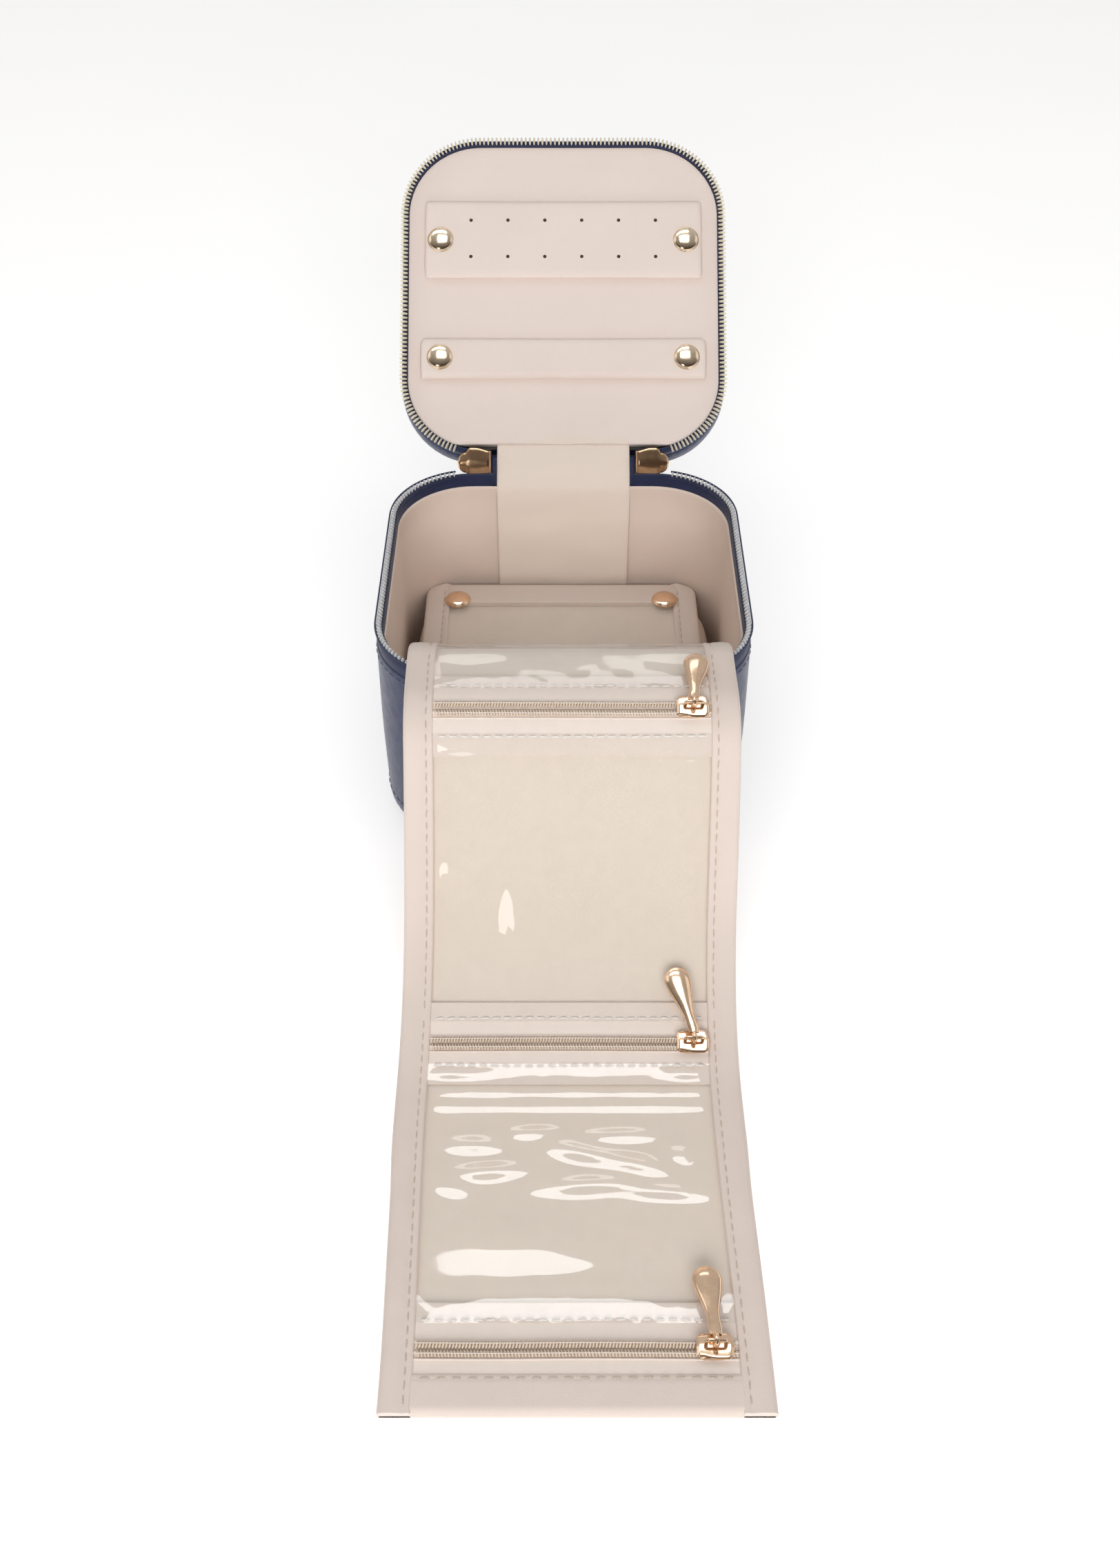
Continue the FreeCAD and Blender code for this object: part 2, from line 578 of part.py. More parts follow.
def build_snap_bar():
    """The reinforced rear edge of the roll, the two snaps in it and their posts on the cushion."""
    clear = roll_limits(ROLL_REAR_CENTRE_X, BINDING_WIDTH + 0.1)
    low = BACKING_THICK + 0.02
    add("roll_snap_bar", strip(0.0, SNAP_BAR_LENGTH, low, ROLL_THICK, clear))
    for name in ("roll_backing_a", "roll_bindings_a"):
        round_rear_corners(name, ROLL_REAR_CENTRE_X)
    caps, posts = [], []
    for x in (ROLL_REAR_CENTRE_X - ROLL_SNAP_X, ROLL_REAR_CENTRE_X + ROLL_SNAP_X):
        y, z = station(ROLL_SNAP_STATION, ROLL_THICK + 0.02)[:2]
        caps.append(snap_cap(vec(x, y, z)))
        posts.append(cylinder(POST_RADIUS, vec(x, y, CUSHION_TOP - 0.6), Z_AXIS, 0.6 + POST_HEIGHT))
        hole = cylinder(POST_RADIUS + 0.2, vec(x, y, CUSHION_TOP - 1.0), Z_AXIS, POST_HEIGHT + 1.2)
        for name in ("roll_backing_a", "roll_snap_bar", "roll_bindings_a"):
            cut_node(name, hole)
        cut_node("base_cushion", hole)
    add("roll_snap_caps", *caps)
    add("cushion_snap_posts", *posts)


def cut_node(name, tool):
    """Cuts a tool out of a node that is already kept."""
    add(name, nodes[name].cut(tool))


def export_all():
    """Writes one STEP file per node."""
    os.makedirs("parts", exist_ok=True)
    for name, shape in nodes.items():
        if not shape.isValid():
            print("not valid", name)
        shape.exportStep("parts/%s.step" % name)
    print(len(nodes), "nodes; roll length", round(ROLL_LENGTH, 2))


build_body()
build_cushion()
build_hinge()
build_lid()
build_lid_strips()
build_case_sliders()
build_roll()
export_all()
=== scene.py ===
import bmesh
import bpy
import json
import math
import numpy as np
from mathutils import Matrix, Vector, noise
from mathutils.bvhtree import BVHTree

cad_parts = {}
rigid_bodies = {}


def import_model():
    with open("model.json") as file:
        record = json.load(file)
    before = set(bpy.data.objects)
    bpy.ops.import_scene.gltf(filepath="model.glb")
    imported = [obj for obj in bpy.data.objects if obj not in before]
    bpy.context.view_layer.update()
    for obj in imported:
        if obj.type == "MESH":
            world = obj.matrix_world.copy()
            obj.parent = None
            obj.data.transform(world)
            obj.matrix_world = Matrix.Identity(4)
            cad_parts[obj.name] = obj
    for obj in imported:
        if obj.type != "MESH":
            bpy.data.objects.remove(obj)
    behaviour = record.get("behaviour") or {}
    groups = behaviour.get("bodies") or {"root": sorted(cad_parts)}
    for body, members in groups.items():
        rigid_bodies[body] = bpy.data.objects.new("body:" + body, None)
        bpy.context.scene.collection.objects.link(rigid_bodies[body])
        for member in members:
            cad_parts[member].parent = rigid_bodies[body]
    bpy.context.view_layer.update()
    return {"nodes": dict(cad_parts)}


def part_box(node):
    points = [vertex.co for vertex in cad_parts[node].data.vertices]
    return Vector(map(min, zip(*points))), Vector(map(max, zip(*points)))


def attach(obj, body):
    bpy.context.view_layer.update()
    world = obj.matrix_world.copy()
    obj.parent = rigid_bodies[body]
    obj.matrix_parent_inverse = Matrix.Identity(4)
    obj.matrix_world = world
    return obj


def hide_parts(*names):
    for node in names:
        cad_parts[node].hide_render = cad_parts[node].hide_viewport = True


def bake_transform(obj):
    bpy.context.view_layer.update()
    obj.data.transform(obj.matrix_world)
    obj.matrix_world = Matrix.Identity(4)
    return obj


# Travel jewelry case: an open zipped cube with a roll of clear zip pockets that hangs out over its
# front rim.
# Sizes are in millimetres until make_object() turns a mesh into Blender's metres.
# Axes: +X right, +Y back towards the hinge, +Z up, origin at the centre of the base.

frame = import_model()
MM = 0.001
rng = np.random.default_rng(11)


# ---- driving sizes, as the CAD has them ----
def node_box(name):
    """The lowest and highest corner of a CAD node in millimetres."""
    low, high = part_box(name)
    return np.array(low) / MM, np.array(high) / MM


RIM_HALF = node_box("body_zip_coil")[1][:2]
RIM_TOP = node_box("body_zip_coil")[1][2]
RIM_RADIUS = 27.0
SHELL_TOP = node_box("body_outer_shell")[1][2]
LINER_TOP = node_box("body_liner")[1][2]
CUSHION_TOP = node_box("base_cushion")[1][2]
LID_ANGLE = math.radians(41.1)
LID_STANDOFF = 5.0
LID_HALF = (55.6, 56.2)
LID_DEPTH = 17.0
LID_SHELL_TOP = -6.4
LID_PANEL_TOP = -3.5
LID_LINER_START = 4.0
HINGE = (58.7, 71.1)
STRAP_WIDTH = 45.0
HINGE_CLOTH_HALF = 24.6
CASE_SLIDER_HALF = 5.6
STRIP_FLOOR = LID_PANEL_TOP + 0.12
LID_SNAP_X = 42.2
EARRING_ROWS, EARRING_COLUMNS, EARRING_PITCH = (69.8, 82.8), 6, 12.7
ROLL_START = (node_box("roll_backing_a")[1][1], node_box("roll_backing_a")[0][2])
ROLL_END_Y = node_box("roll_backing_d")[0][1]
ROLL_HALF = 47.3
ZIPS = (63.3, 159.4, 255.5, 345.8)
FOLD_C, FOLD_D = 169.5, 265.7
BINDING = 8.5
FACE = 2.6
ROLL_SNAP_AT, ROLL_SNAP_X = 11.2, 36.0


# ---- mesh helpers ----
def make_object(name, points, faces, material, uvs=None, sharp=38.0):
    """A smooth mesh object from points in millimetres; edges sharper than an angle stay crisp."""
    mesh = bpy.data.meshes.new(name)
    mesh.from_pydata([(p[0] * MM, p[1] * MM, p[2] * MM) for p in points], [], faces)
    if uvs is not None:
        layer = mesh.uv_layers.new(name="UVMap")
        for loop in mesh.loops:
            layer.data[loop.index].uv = uvs[loop.vertex_index]
    form = bmesh.new()
    form.from_mesh(mesh)
    bmesh.ops.recalc_face_normals(form, faces=form.faces)
    for face in form.faces:
        face.smooth = True
    for edge in form.edges:
        edge.smooth = len(edge.link_faces) == 2 and edge.calc_face_angle(0) < math.radians(sharp)
    form.to_mesh(mesh)
    form.free()
    mesh.materials.append(material)
    obj = bpy.data.objects.new(name, mesh)
    bpy.context.scene.collection.objects.link(obj)
    return obj


def turns(count):
    """Angles evenly spaced round a full turn."""
    return [2 * math.pi * k / count for k in range(count)]


def settle(obj, body, slot, *nodes):
    """Fixes a piece to a body and hides the CAD nodes it stands in for; slot is not used."""
    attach(obj, body)
    if nodes:
        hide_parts(*nodes)


def loft(rings, closed=False):
    """Points and faces that join equally long rings, with a face over each end unless closed."""
    count, size = len(rings), len(rings[0])
    points = [p for ring in rings for p in ring]
    faces = []
    for r in range(count if closed else count - 1):
        a, b = r * size, (r + 1) % count * size
        faces += [(a + i, a + (i + 1) % size, b + (i + 1) % size, b + i) for i in range(size)]
    if not closed:
        faces.append(tuple(range(size)))
        faces.append(tuple((count - 1) * size + i for i in reversed(range(size))))
    return points, faces


class Collected:
    """Many small forms gathered into one mesh."""

    def __init__(self):
        self.points = []
        self.faces = []

    def add(self, form):
        points, faces = form
        start = len(self.points)
        self.points += [tuple(p) for p in points]
        self.faces += [tuple(start + i for i in f) for f in faces]

    def build(self, name, material, sharp=50.0):
        return make_object(name, self.points, self.faces, material, sharp=sharp)


def bead(centre, along, across, up, half, sides=6, steps=4):
    """A rounded bead: half sizes along three unit directions."""
    centre, along, across, up = (np.array(v, float) for v in (centre, along, across, up))
    rings = []
    for i in range(steps + 1):
        a = math.pi * (i / steps - 0.5) * 0.94
        girth = math.cos(a) ** 0.6
        middle = centre + along * half[0] * math.sin(a)
        rings.append([middle + girth * (across * half[1] * math.cos(b) + up * half[2] * math.sin(b))
                      for b in turns(sides)])
    return loft(rings)


def tube(path, radius, sides=8):
    """A round tube along a list of points."""
    path = [np.array(p, float) for p in path]
    rings, side = [], None
    for i, p in enumerate(path):
        ahead = path[min(i + 1, len(path) - 1)] - path[max(i - 1, 0)]
        ahead = ahead / np.linalg.norm(ahead)
        if side is None:
            side = np.cross(ahead, (0.0, 0.0, 1.0) if abs(ahead[2]) < 0.9 else (1.0, 0.0, 0.0))
        side = side - ahead * side.dot(ahead)
        side = side / np.linalg.norm(side)
        up = np.cross(ahead, side)
        rings.append([p + radius * (side * math.cos(a) + up * math.sin(a)) for a in turns(sides)])
    return loft(rings)


def smoothstep(t):
    t = min(max(t, 0.0), 1.0)
    return t * t * (3 - 2 * t)


def ripple(x, y, z, scale, seed=0.0):
    """Smooth noise from -1 to 1 at a place in millimetres; scale is the size of its waves."""
    return noise.noise(Vector((x / scale + seed, y / scale - seed, z / scale + 0.37 * seed)))


# ---- the rim: a rectangle with round corners, walked from the middle of its rear side ----
class Rim:
    def __init__(self, half_x, half_y, radius, centre_y=0.0):
        self.half = (half_x, half_y)
        self.radius = radius
        self.centre_y = centre_y
        side_x, side_y = half_x - radius, half_y - radius
        quarter = radius * math.pi / 2
        corner = (quarter, 1)
        self.runs = [(side_x, 0), corner, (2 * side_y, 0), corner, (2 * side_x, 0), corner,
                     (2 * side_y, 0), corner, (side_x, 0)]
        self.length = sum(run[0] for run in self.runs)

    def at(self, u):
        """The place on the rim at a distance along it, and the outward direction there."""
        u %= self.length
        x, y, heading = 0.0, self.centre_y + self.half[1], 0.0
        for length, turning in self.runs:
            part = min(u, length)
            if turning:
                centre = (x + self.radius * math.sin(heading), y - self.radius * math.cos(heading))
                heading -= part / self.radius
                x = centre[0] - self.radius * math.sin(heading)
                y = centre[1] + self.radius * math.cos(heading)
            else:
                x += part * math.cos(heading)
                y += part * math.sin(heading)
            u -= part
            if u <= 1e-9:
                break
        return x, y, -math.sin(heading), math.cos(heading)

    def point(self, u, inset, z):
        x, y, nx, ny = self.at(u)
        return x - nx * inset, y - ny * inset, z

    def stations(self, start, end, step):
        count = max(2, round((end - start) / step))
        return [start + (end - start) * i / count for i in range(count + 1)]


def corner_ring(rim, inset, z, step=3.0):
    """A closed ring of points inside the rim; deep insets shrink it towards the middle."""
    deep = max(0.0, inset - rim.radius * 0.6)
    shallow = inset - deep
    scale = 1 - deep / (min(rim.half) - shallow)
    count = round(rim.length / step)
    ring = []
    for i in range(count):
        x, y, _ = rim.point(rim.length * i / count, shallow, 0)
        ring.append((x * scale, rim.centre_y + (y - rim.centre_y) * scale, z))
    return ring


CASE = Rim(RIM_HALF[0], RIM_HALF[1], RIM_RADIUS)
LID = Rim(LID_HALF[0], LID_HALF[1], RIM_RADIUS, LID_HALF[1])


def lid_place(p):
    """From (x, distance up the lid, height off its inside) to the open lid's place."""
    x, t, n = p
    y0 = RIM_HALF[1] + LID_STANDOFF * math.cos(LID_ANGLE)
    z0 = RIM_TOP + LID_STANDOFF * math.sin(LID_ANGLE)
    return (x, y0 + t * math.cos(LID_ANGLE) - n * math.sin(LID_ANGLE),
            z0 + t * math.sin(LID_ANGLE) + n * math.cos(LID_ANGLE))


def lid_direction(x, t, n):
    return np.array((x, t * math.cos(LID_ANGLE) - n * math.sin(LID_ANGLE),
                     t * math.sin(LID_ANGLE) + n * math.cos(LID_ANGLE)))


def same_place(p):
    return p


# ---- the path of the roll's underside, as (length, radius, turn) runs; a line has no radius ----
def advance(y, z, heading, run, share):
    length, radius, turn = run
    if not radius:
        ahead = share * length
        return y + ahead * math.cos(heading), z + ahead * math.sin(heading), heading
    side = math.copysign(1, turn)
    centre = (y + side * radius * math.sin(heading), z - side * radius * math.cos(heading))
    heading -= share * turn
    return (centre[0] - side * radius * math.sin(heading),
            centre[1] + side * radius * math.cos(heading), heading)


def bend(radius, degrees):
    turn = math.radians(degrees)
    return radius * abs(turn), radius, turn


def roll_runs():
    rise_y, base_radius, rim_radius, crest, slope = -38.6, 9.0, 12.0, 15.4, 58.0
    drop_radius, floor_radius, table = 16.0, 62.0, 0.1
    over_rim = RIM_TOP + 1.8
    runs = [(ROLL_START[0] - rise_y - base_radius, 0, 0), bend(base_radius, 90),
            (over_rim - rim_radius - ROLL_START[1] - base_radius, 0, 0), bend(rim_radius, -90),
            (crest, 0, 0), bend(drop_radius, -slope)]
    y, z, heading = follow(runs)
    drop = z - table - floor_radius * (1 - math.cos(math.radians(slope)))
    runs += [(drop / math.sin(math.radians(slope)), 0, 0), bend(floor_radius, slope)]
    runs.append((follow(runs)[0] - ROLL_END_Y, 0, 0))
    return runs


def follow(runs, at=None):
    y, z, heading = ROLL_START[0], ROLL_START[1], math.pi
    for run in runs:
        if at is not None and at <= run[0]:
            return advance(y, z, heading, run, at / run[0])
        y, z, heading = advance(y, z, heading, run, 1.0)
        at = at if at is None else at - run[0]
    return y, z, heading


RUNS = roll_runs()
ROLL_LENGTH = sum(run[0] for run in RUNS)
ROLL_DRIFT = ((0, -0.7), (60, -0.6), (135, 1.9), (170, 2.3), (270, 1.3), (ROLL_LENGTH, 2.9))


def drift(s):
    """How far the roll's middle line has wandered to the side at a station."""
    for (s0, x0), (s1, x1) in zip(ROLL_DRIFT, ROLL_DRIFT[1:]):
        if s <= s1:
            return x0 + (x1 - x0) * smoothstep((s - s0) / (s1 - s0))
    return ROLL_DRIFT[-1][1]


def on_roll(s, h, x):
    """The place at station s, height h above the roll's underside and x from its middle line."""
    y, z, heading = follow(RUNS, s)
    return drift(s) + x, y + h * math.sin(heading), z - h * math.cos(heading)


def roll_axes(s):
    """Unit directions along the roll and off its face at a station."""
    heading = follow(RUNS, s)[2]
    return (0.0, math.cos(heading), math.sin(heading)), (0.0, math.sin(heading), -math.cos(heading))


def spaced(start, end, step):
    count = max(2, math.ceil((end - start) / step))
    return [start + (end - start) * i / count for i in range(count + 1)]


# parts of the roll that move together: name, first station, last station, how they ride
SECTIONS = (("rear", 1.2, 137.0, "case"), ("middle", 137.0, 248.0, "fold_c"),
            ("front", 248.0, ROLL_LENGTH, "fold_d"))
FOLD_REACH = 3.6


def attach_to_roll(obj, ride):
    """Fixes a piece to the case or to a roll part; a piece on one of the roll's two folds only has
    its transform baked.
    """
    if ride in ("case", "roll_c", "roll_d"):
        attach(obj, ride)
        return
    fold, bodies = {"fold_c": (FOLD_C, ("case", "roll_c")),
                    "fold_d": (FOLD_D, ("roll_c", "roll_d"))}[ride]
    start, end = (Vector(on_roll(fold + side * FOLD_REACH, FACE / 2, 0)) * MM for side in (-1, 1))
    start.x = end.x = 0
    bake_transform(obj)


def slab_outline(left, right, low, high, count=24):
    """The section of a thin sheet between two x limits; low and high are functions of x."""
    xs = [left + (right - left) * i / count for i in range(count + 1)]
    return [(x, low(x)) for x in xs] + [(x, high(x)) for x in reversed(xs)]


# ---- materials ----
def linear(r, g, b):
    """A linear colour from 8-bit display values."""
    return tuple((v / 255 / 12.92) if v <= 10 else ((v / 255 + 0.055) / 1.055) ** 2.4
                 for v in (r, g, b)) + (1.0,)


def darker(colour, share):
    return tuple(c * share for c in colour[:3]) + (1.0,)


class Shader:
    """A small helper for building one node tree."""

    def __init__(self, name):
        self.material = bpy.data.materials.new(name)
        self.material.use_nodes = True
        self.tree = self.material.node_tree
        self.main = self.tree.nodes["Principled BSDF"]
        self.output = self.tree.nodes["Material Output"]
        self.place = self.node("ShaderNodeTexCoord").outputs["Object"]

    def node(self, kind, inputs=(), **settings):
        made = self.tree.nodes.new(kind)
        for key, value in settings.items():
            setattr(made, key, value)
        for key, value in dict(inputs).items():
            if isinstance(value, bpy.types.NodeSocket):
                self.tree.links.new(value, made.inputs[key])
            else:
                made.inputs[key].default_value = value
        return made

    def set(self, **values):
        for key, value in values.items():
            self.main.inputs[key.replace("_", " ")].default_value = value

    def link(self, output, key):
        self.tree.links.new(output, self.main.inputs[key])

    def noise(self, scale, detail=3.0, rough=0.55, place=None):
        return self.node("ShaderNodeTexNoise", {
            "Vector": place or self.place, "Scale": scale, "Detail": detail,
            "Roughness": rough}).outputs["Fac"]

    def cells(self, scale):
        return self.node("ShaderNodeTexVoronoi",
                         {"Vector": self.place, "Scale": scale}).outputs["Distance"]

    def ranged(self, value, low, high, start=0.3, end=0.7):
        return self.node("ShaderNodeMapRange", {"Value": value, "From Min": start, "From Max": end,
                                                "To Min": low, "To Max": high}).outputs["Result"]

    def math(self, operation, a, b=0.0):
        return self.node("ShaderNodeMath", {0: a, 1: b}, operation=operation).outputs[0]

    def blend_colours(self, factor, first, second):
        mixed = self.node("ShaderNodeMix", {"Factor": factor}, data_type="RGBA")
        mixed.inputs[6].default_value = first
        mixed.inputs[7].default_value = second
        return mixed.outputs[2]

    def bump(self, height, distance, strength=1.0, below=None):
        inputs = {"Height": height, "Distance": distance, "Strength": strength}
        if below is not None:
            inputs["Normal"] = below
        return self.node("ShaderNodeBump", inputs).outputs["Normal"]


def soft_leather(name, colour, dark=0.95, grain=0.00005, rough=(0.46, 0.6), wrinkle=0.0003,
                 sheen=0.0):
    """Smooth faux leather: slow changes of tone, a fine pebbled grain and faint creases."""
    s = Shader(name)
    shade = darker(colour, dark)
    tone = s.ranged(s.noise(38.0, 4.0), 0.0, 1.0, 0.25, 0.75)
    s.link(s.blend_colours(tone, shade, colour), "Base Color")
    s.link(s.ranged(s.noise(300.0), rough[0], rough[1]), "Roughness")
    creases = s.bump(s.noise(85.0, 2.0), wrinkle, 0.6)
    pebbles = s.math("ADD", s.cells(2300.0), s.math("MULTIPLY", s.noise(1500.0, 2.0), 0.6))
    s.link(s.bump(pebbles, grain, 0.7, creases), "Normal")
    s.set(Specular_IOR_Level=0.42, Sheen_Weight=sheen, Sheen_Roughness=0.4)
    return s.material


def woven(name, colour, thread, depth, rough, dark=0.88, use_uv=False, slack=0.0004):
    """Plain-woven cloth or tape: threads over and under each other, a little uneven in tone."""
    s = Shader(name)
    place = s.node("ShaderNodeTexCoord").outputs["UV"] if use_uv else s.place
    uneven = s.noise(240.0, 2.0)
    axes = s.node("ShaderNodeSeparateXYZ", {"Vector": place})
    pitch = 2 * math.pi / (thread * MM)
    first = s.math("SINE", s.math("MULTIPLY", axes.outputs["X"], pitch))
    other = axes.outputs["Y"] if use_uv else s.math("ADD", axes.outputs["Y"], axes.outputs["Z"])
    second = s.math("SINE", s.math("MULTIPLY", other, pitch))
    weave = s.math("MULTIPLY", first, second)
    height = s.ranged(weave, 0.0, 1.0, -1.0, 1.0)
    shade = darker(colour, dark)
    tone = s.math("ADD", s.math("MULTIPLY", height, 0.5), s.ranged(uneven, 0.0, 0.5))
    s.link(s.blend_colours(tone, shade, colour), "Base Color")
    s.link(s.bump(height, depth * MM, 0.6, s.bump(s.noise(70.0, 3.0), slack, 0.4)), "Normal")
    s.set(Roughness=rough, Specular_IOR_Level=0.3, Sheen_Weight=0.15, Sheen_Roughness=0.5)
    return s.material


def metal(name, colour, rough, metallic=1.0):
    """Plated metal: faint orange peel, thin handling marks and a duller film in places."""
    s = Shader(name)
    film = s.ranged(s.noise(420.0, 3.0), 0.0, 1.0)
    s.link(s.blend_colours(film, colour, darker(colour, 0.86)), "Base Color")
    stretched = s.node("ShaderNodeMapping", {"Vector": s.place, "Scale": (1.0, 14.0, 1.0)})
    marks = s.noise(900.0, 4.0, 0.7, stretched.outputs["Vector"])
    s.link(s.ranged(marks, rough, rough + 0.08), "Roughness")
    s.link(s.bump(s.noise(520.0, 2.0), 0.00003, 0.5), "Normal")
    s.set(Metallic=metallic)
    return s.material


def clear_vinyl(name):
    """Thin clear film: a mirror that grows towards grazing angles, with a milky touch."""
    s = Shader(name)
    waves = s.bump(s.noise(30.0, 1.0, 0.3), 0.0008, 0.3)
    seen = s.node("ShaderNodeBsdfTransparent", {"Color": (1.0, 0.998, 0.994, 1.0)}).outputs[0]
    handled = s.ranged(s.noise(180.0, 3.0), 0.015, 0.05)
    mirror = s.node("ShaderNodeBsdfGlossy", {"Color": (1.0, 1.0, 1.0, 1.0), "Roughness": handled,
                                              "Normal": waves}).outputs[0]
    facing = s.node("ShaderNodeLayerWeight", {"Blend": 0.5, "Normal": waves}).outputs["Facing"]
    share = s.math("ADD", s.math("MULTIPLY", s.math("POWER", facing, 5.0), 0.9), 0.045)
    film = s.node("ShaderNodeMixShader", {0: share, 1: seen, 2: mirror}).outputs[0]
    s.set(Base_Color=(0.93, 0.91, 0.89, 1.0), Specular_IOR_Level=0.0, Roughness=0.8)
    haze = s.ranged(s.noise(55.0, 3.0), 0.02, 0.06)
    surface = s.node("ShaderNodeMixShader", {0: haze, 1: film, 2: s.main.outputs[0]}).outputs[0]
    s.tree.links.new(surface, s.output.inputs["Surface"])
    return s.material


def thread_material(name, colour):
    """Twisted thread: slanting strands in tone and bump."""
    s = Shader(name)
    slanted = s.node("ShaderNodeMapping", {"Vector": s.place, "Rotation": (0.5, 0.3, 0.8)})
    strands = s.node("ShaderNodeTexWave", {"Vector": slanted.outputs["Vector"], "Scale": 700.0,
                                           "Distortion": 1.0}).outputs["Fac"]
    shade = darker(colour, 0.82)
    s.link(s.blend_colours(strands, shade, colour), "Base Color")
    s.link(s.bump(strands, 0.00006, 0.6), "Normal")
    s.set(Roughness=0.55, Sheen_Weight=0.2)
    return s.material


def moulded(name, colour, rough=0.4):
    """Nylon: slightly see-through at its skin, with a faint flow texture."""
    s = Shader(name)
    flow = s.noise(700.0, 3.0)
    shade = darker(colour, 0.9)
    s.link(s.blend_colours(s.ranged(flow, 0.0, 1.0), shade, colour), "Base Color")
    s.link(s.ranged(flow, rough, rough + 0.12), "Roughness")
    s.link(s.bump(flow, 0.00004, 0.4), "Normal")
    s.set(Subsurface_Weight=0.05, Subsurface_Scale=0.001)
    return s.material


LINING = soft_leather("lining_leather", linear(235, 217, 204), 0.93)
# the lid's leather: its own colour, partly painted light, set lighter than the roll's leather so
# the lid looks as brightly lit as the rest
PANEL = soft_leather("panel_leather_painted_light", linear(242, 227, 218), 0.965)
ROLL_EDGE = soft_leather("roll_leather", linear(231, 216, 206), 0.96)
STRAP = soft_leather("strap_leather", linear(241, 226, 213), 0.96)
CLOTH = woven("roll_cloth", linear(241, 229, 216), 0.55, 0.02, 0.75, 0.965, True, 0.00005)
UNDERSIDE = soft_leather("roll_back_leather", linear(222, 205, 194), 0.95)
NAVY = soft_leather("navy_leather", linear(50, 58, 90), 0.82, 0.00009, (0.42, 0.58), 0.0004, 0.25)
NAVY_TAPE = woven("navy_tape", linear(44, 51, 82), 0.7, 0.08, 0.7, 0.7)
NAVY_THREAD = thread_material("navy_thread", linear(70, 80, 112))
BEIGE_TAPE = woven("beige_tape", linear(242, 229, 219), 0.5, 0.04, 0.72, 0.95, use_uv=True)
BEIGE_COIL = moulded("beige_coil", linear(234, 216, 196))
THREAD = thread_material("beige_thread", linear(214, 196, 182))
WHITE_THREAD = thread_material("white_thread", linear(244, 240, 234))
ROSE_GOLD = metal("rose_gold", linear(248, 214, 182), 0.09)
PALE_GOLD = metal("pale_gold", linear(250, 228, 200), 0.1)
DARK_GOLD = metal("slider_gold", linear(226, 190, 152), 0.16)
CHAMPAGNE = metal("champagne_teeth", linear(248, 240, 218), 0.36, 0.3)
SILVER = metal("silver_teeth", linear(232, 234, 236), 0.36, 0.4)
VINYL = clear_vinyl("clear_vinyl")
# painted shade: the earring wells' dark colour stands for the shade inside the holes
HOLE_SHADE = soft_leather("hole_shadow", linear(70, 52, 44), 0.7)
BOARD = woven("grey_board", linear(150, 144, 136), 0.9, 0.04, 0.85)
FOAM = moulded("lid_foam", linear(235, 230, 215), 0.8)


# ---- padding by simulation ----
def swap_mesh(obj):
    """Replaces an object's mesh by the mesh its modifiers make."""
    graph = bpy.context.evaluated_depsgraph_get()
    made = bpy.data.meshes.new_from_object(obj.evaluated_get(graph))
    obj.modifiers.clear()
    obj.data = made


PUFF_FRAMES = 16


def puff(obj, voxel, pressure, cap):
    """Fills a pad with air: remesh, blow up as cloth, smooth; cap is how far a point may move."""
    remesh = obj.modifiers.new("remesh", "REMESH")
    remesh.mode = "VOXEL"
    remesh.voxel_size = voxel * MM
    remesh.use_smooth_shade = True
    swap_mesh(obj)
    before = np.array([v.co for v in obj.data.vertices])
    cloth = obj.modifiers.new("cloth", "CLOTH")
    cloth.settings.use_pressure = True
    cloth.settings.uniform_pressure_force = pressure
    cloth.settings.effector_weights.gravity = 0
    cloth.settings.mass = 0.15
    cloth.settings.tension_stiffness = 12
    cloth.settings.compression_stiffness = 12
    cloth.settings.bending_stiffness = 0.3
    for number in range(1, PUFF_FRAMES + 1):
        bpy.context.scene.frame_set(number)
    swap_mesh(obj)
    moved = np.array([v.co for v in obj.data.vertices]) - before
    moved -= moved.mean(axis=0)
    far = np.linalg.norm(moved, axis=1, keepdims=True)
    limit = cap * MM
    moved *= limit * np.tanh(far / limit) / np.maximum(far, 1e-9)
    after = before + moved
    for vertex, place in zip(obj.data.vertices, after):
        vertex.co = place
    finer = obj.modifiers.new("finer", "SUBSURF")
    finer.levels = 1
    swap_mesh(obj)
    for face in obj.data.polygons:
        face.use_smooth = True
    bpy.context.scene.frame_set(1)


# ---- case body ----
def navy_shell(name, rim, place, profile, node, body):
    """A fabric-covered shell; profile is (inset, height) from the middle outside to the inside."""
    rings = [[place(p) for p in corner_ring(rim, inset, z)] for inset, z in profile]
    settle(make_object(name, *loft(rings), NAVY, sharp=60), body, "navy_fabric", node)


def arc_profile(inset, z, radius, start, end, count=6):
    """Part of a rounded edge in the (inset, height) plane, about a centre."""
    steps = [math.radians(start + (end - start) * i / count) for i in range(count + 1)]
    return [(inset - radius * math.cos(a), z + radius * math.sin(a)) for a in steps]


def build_body_shell():
    """The navy shell, with walls that swell slightly at half height."""
    top = SHELL_TOP
    profile = [(inset, 0.0) for inset in (50, 44, 30, 16, 9)] + arc_profile(6.3, 6.0, 6.0, -90, 0)
    profile += [(0.3 - 0.35 * math.sin(math.pi * z / 64) ** 2, z)
                for z in (10, 18, 27, 36, 45, 53, 59, 62)]
    profile += [(0.32, top - 0.5), (0.5, top - 0.1), (0.9, top), (1.2, top - 0.3)]
    profile += [(1.25, 58), (1.25, 30), (1.25, 8)] + arc_profile(6.6, 6.3, 5.3, 0, -90)
    profile += [(16, 0.9), (30, 0.9), (50, 0.9)]
    navy_shell("body_shell", CASE, same_place, profile, "body_outer_shell", "case")


RIM_STITCH_PITCH = 3.2


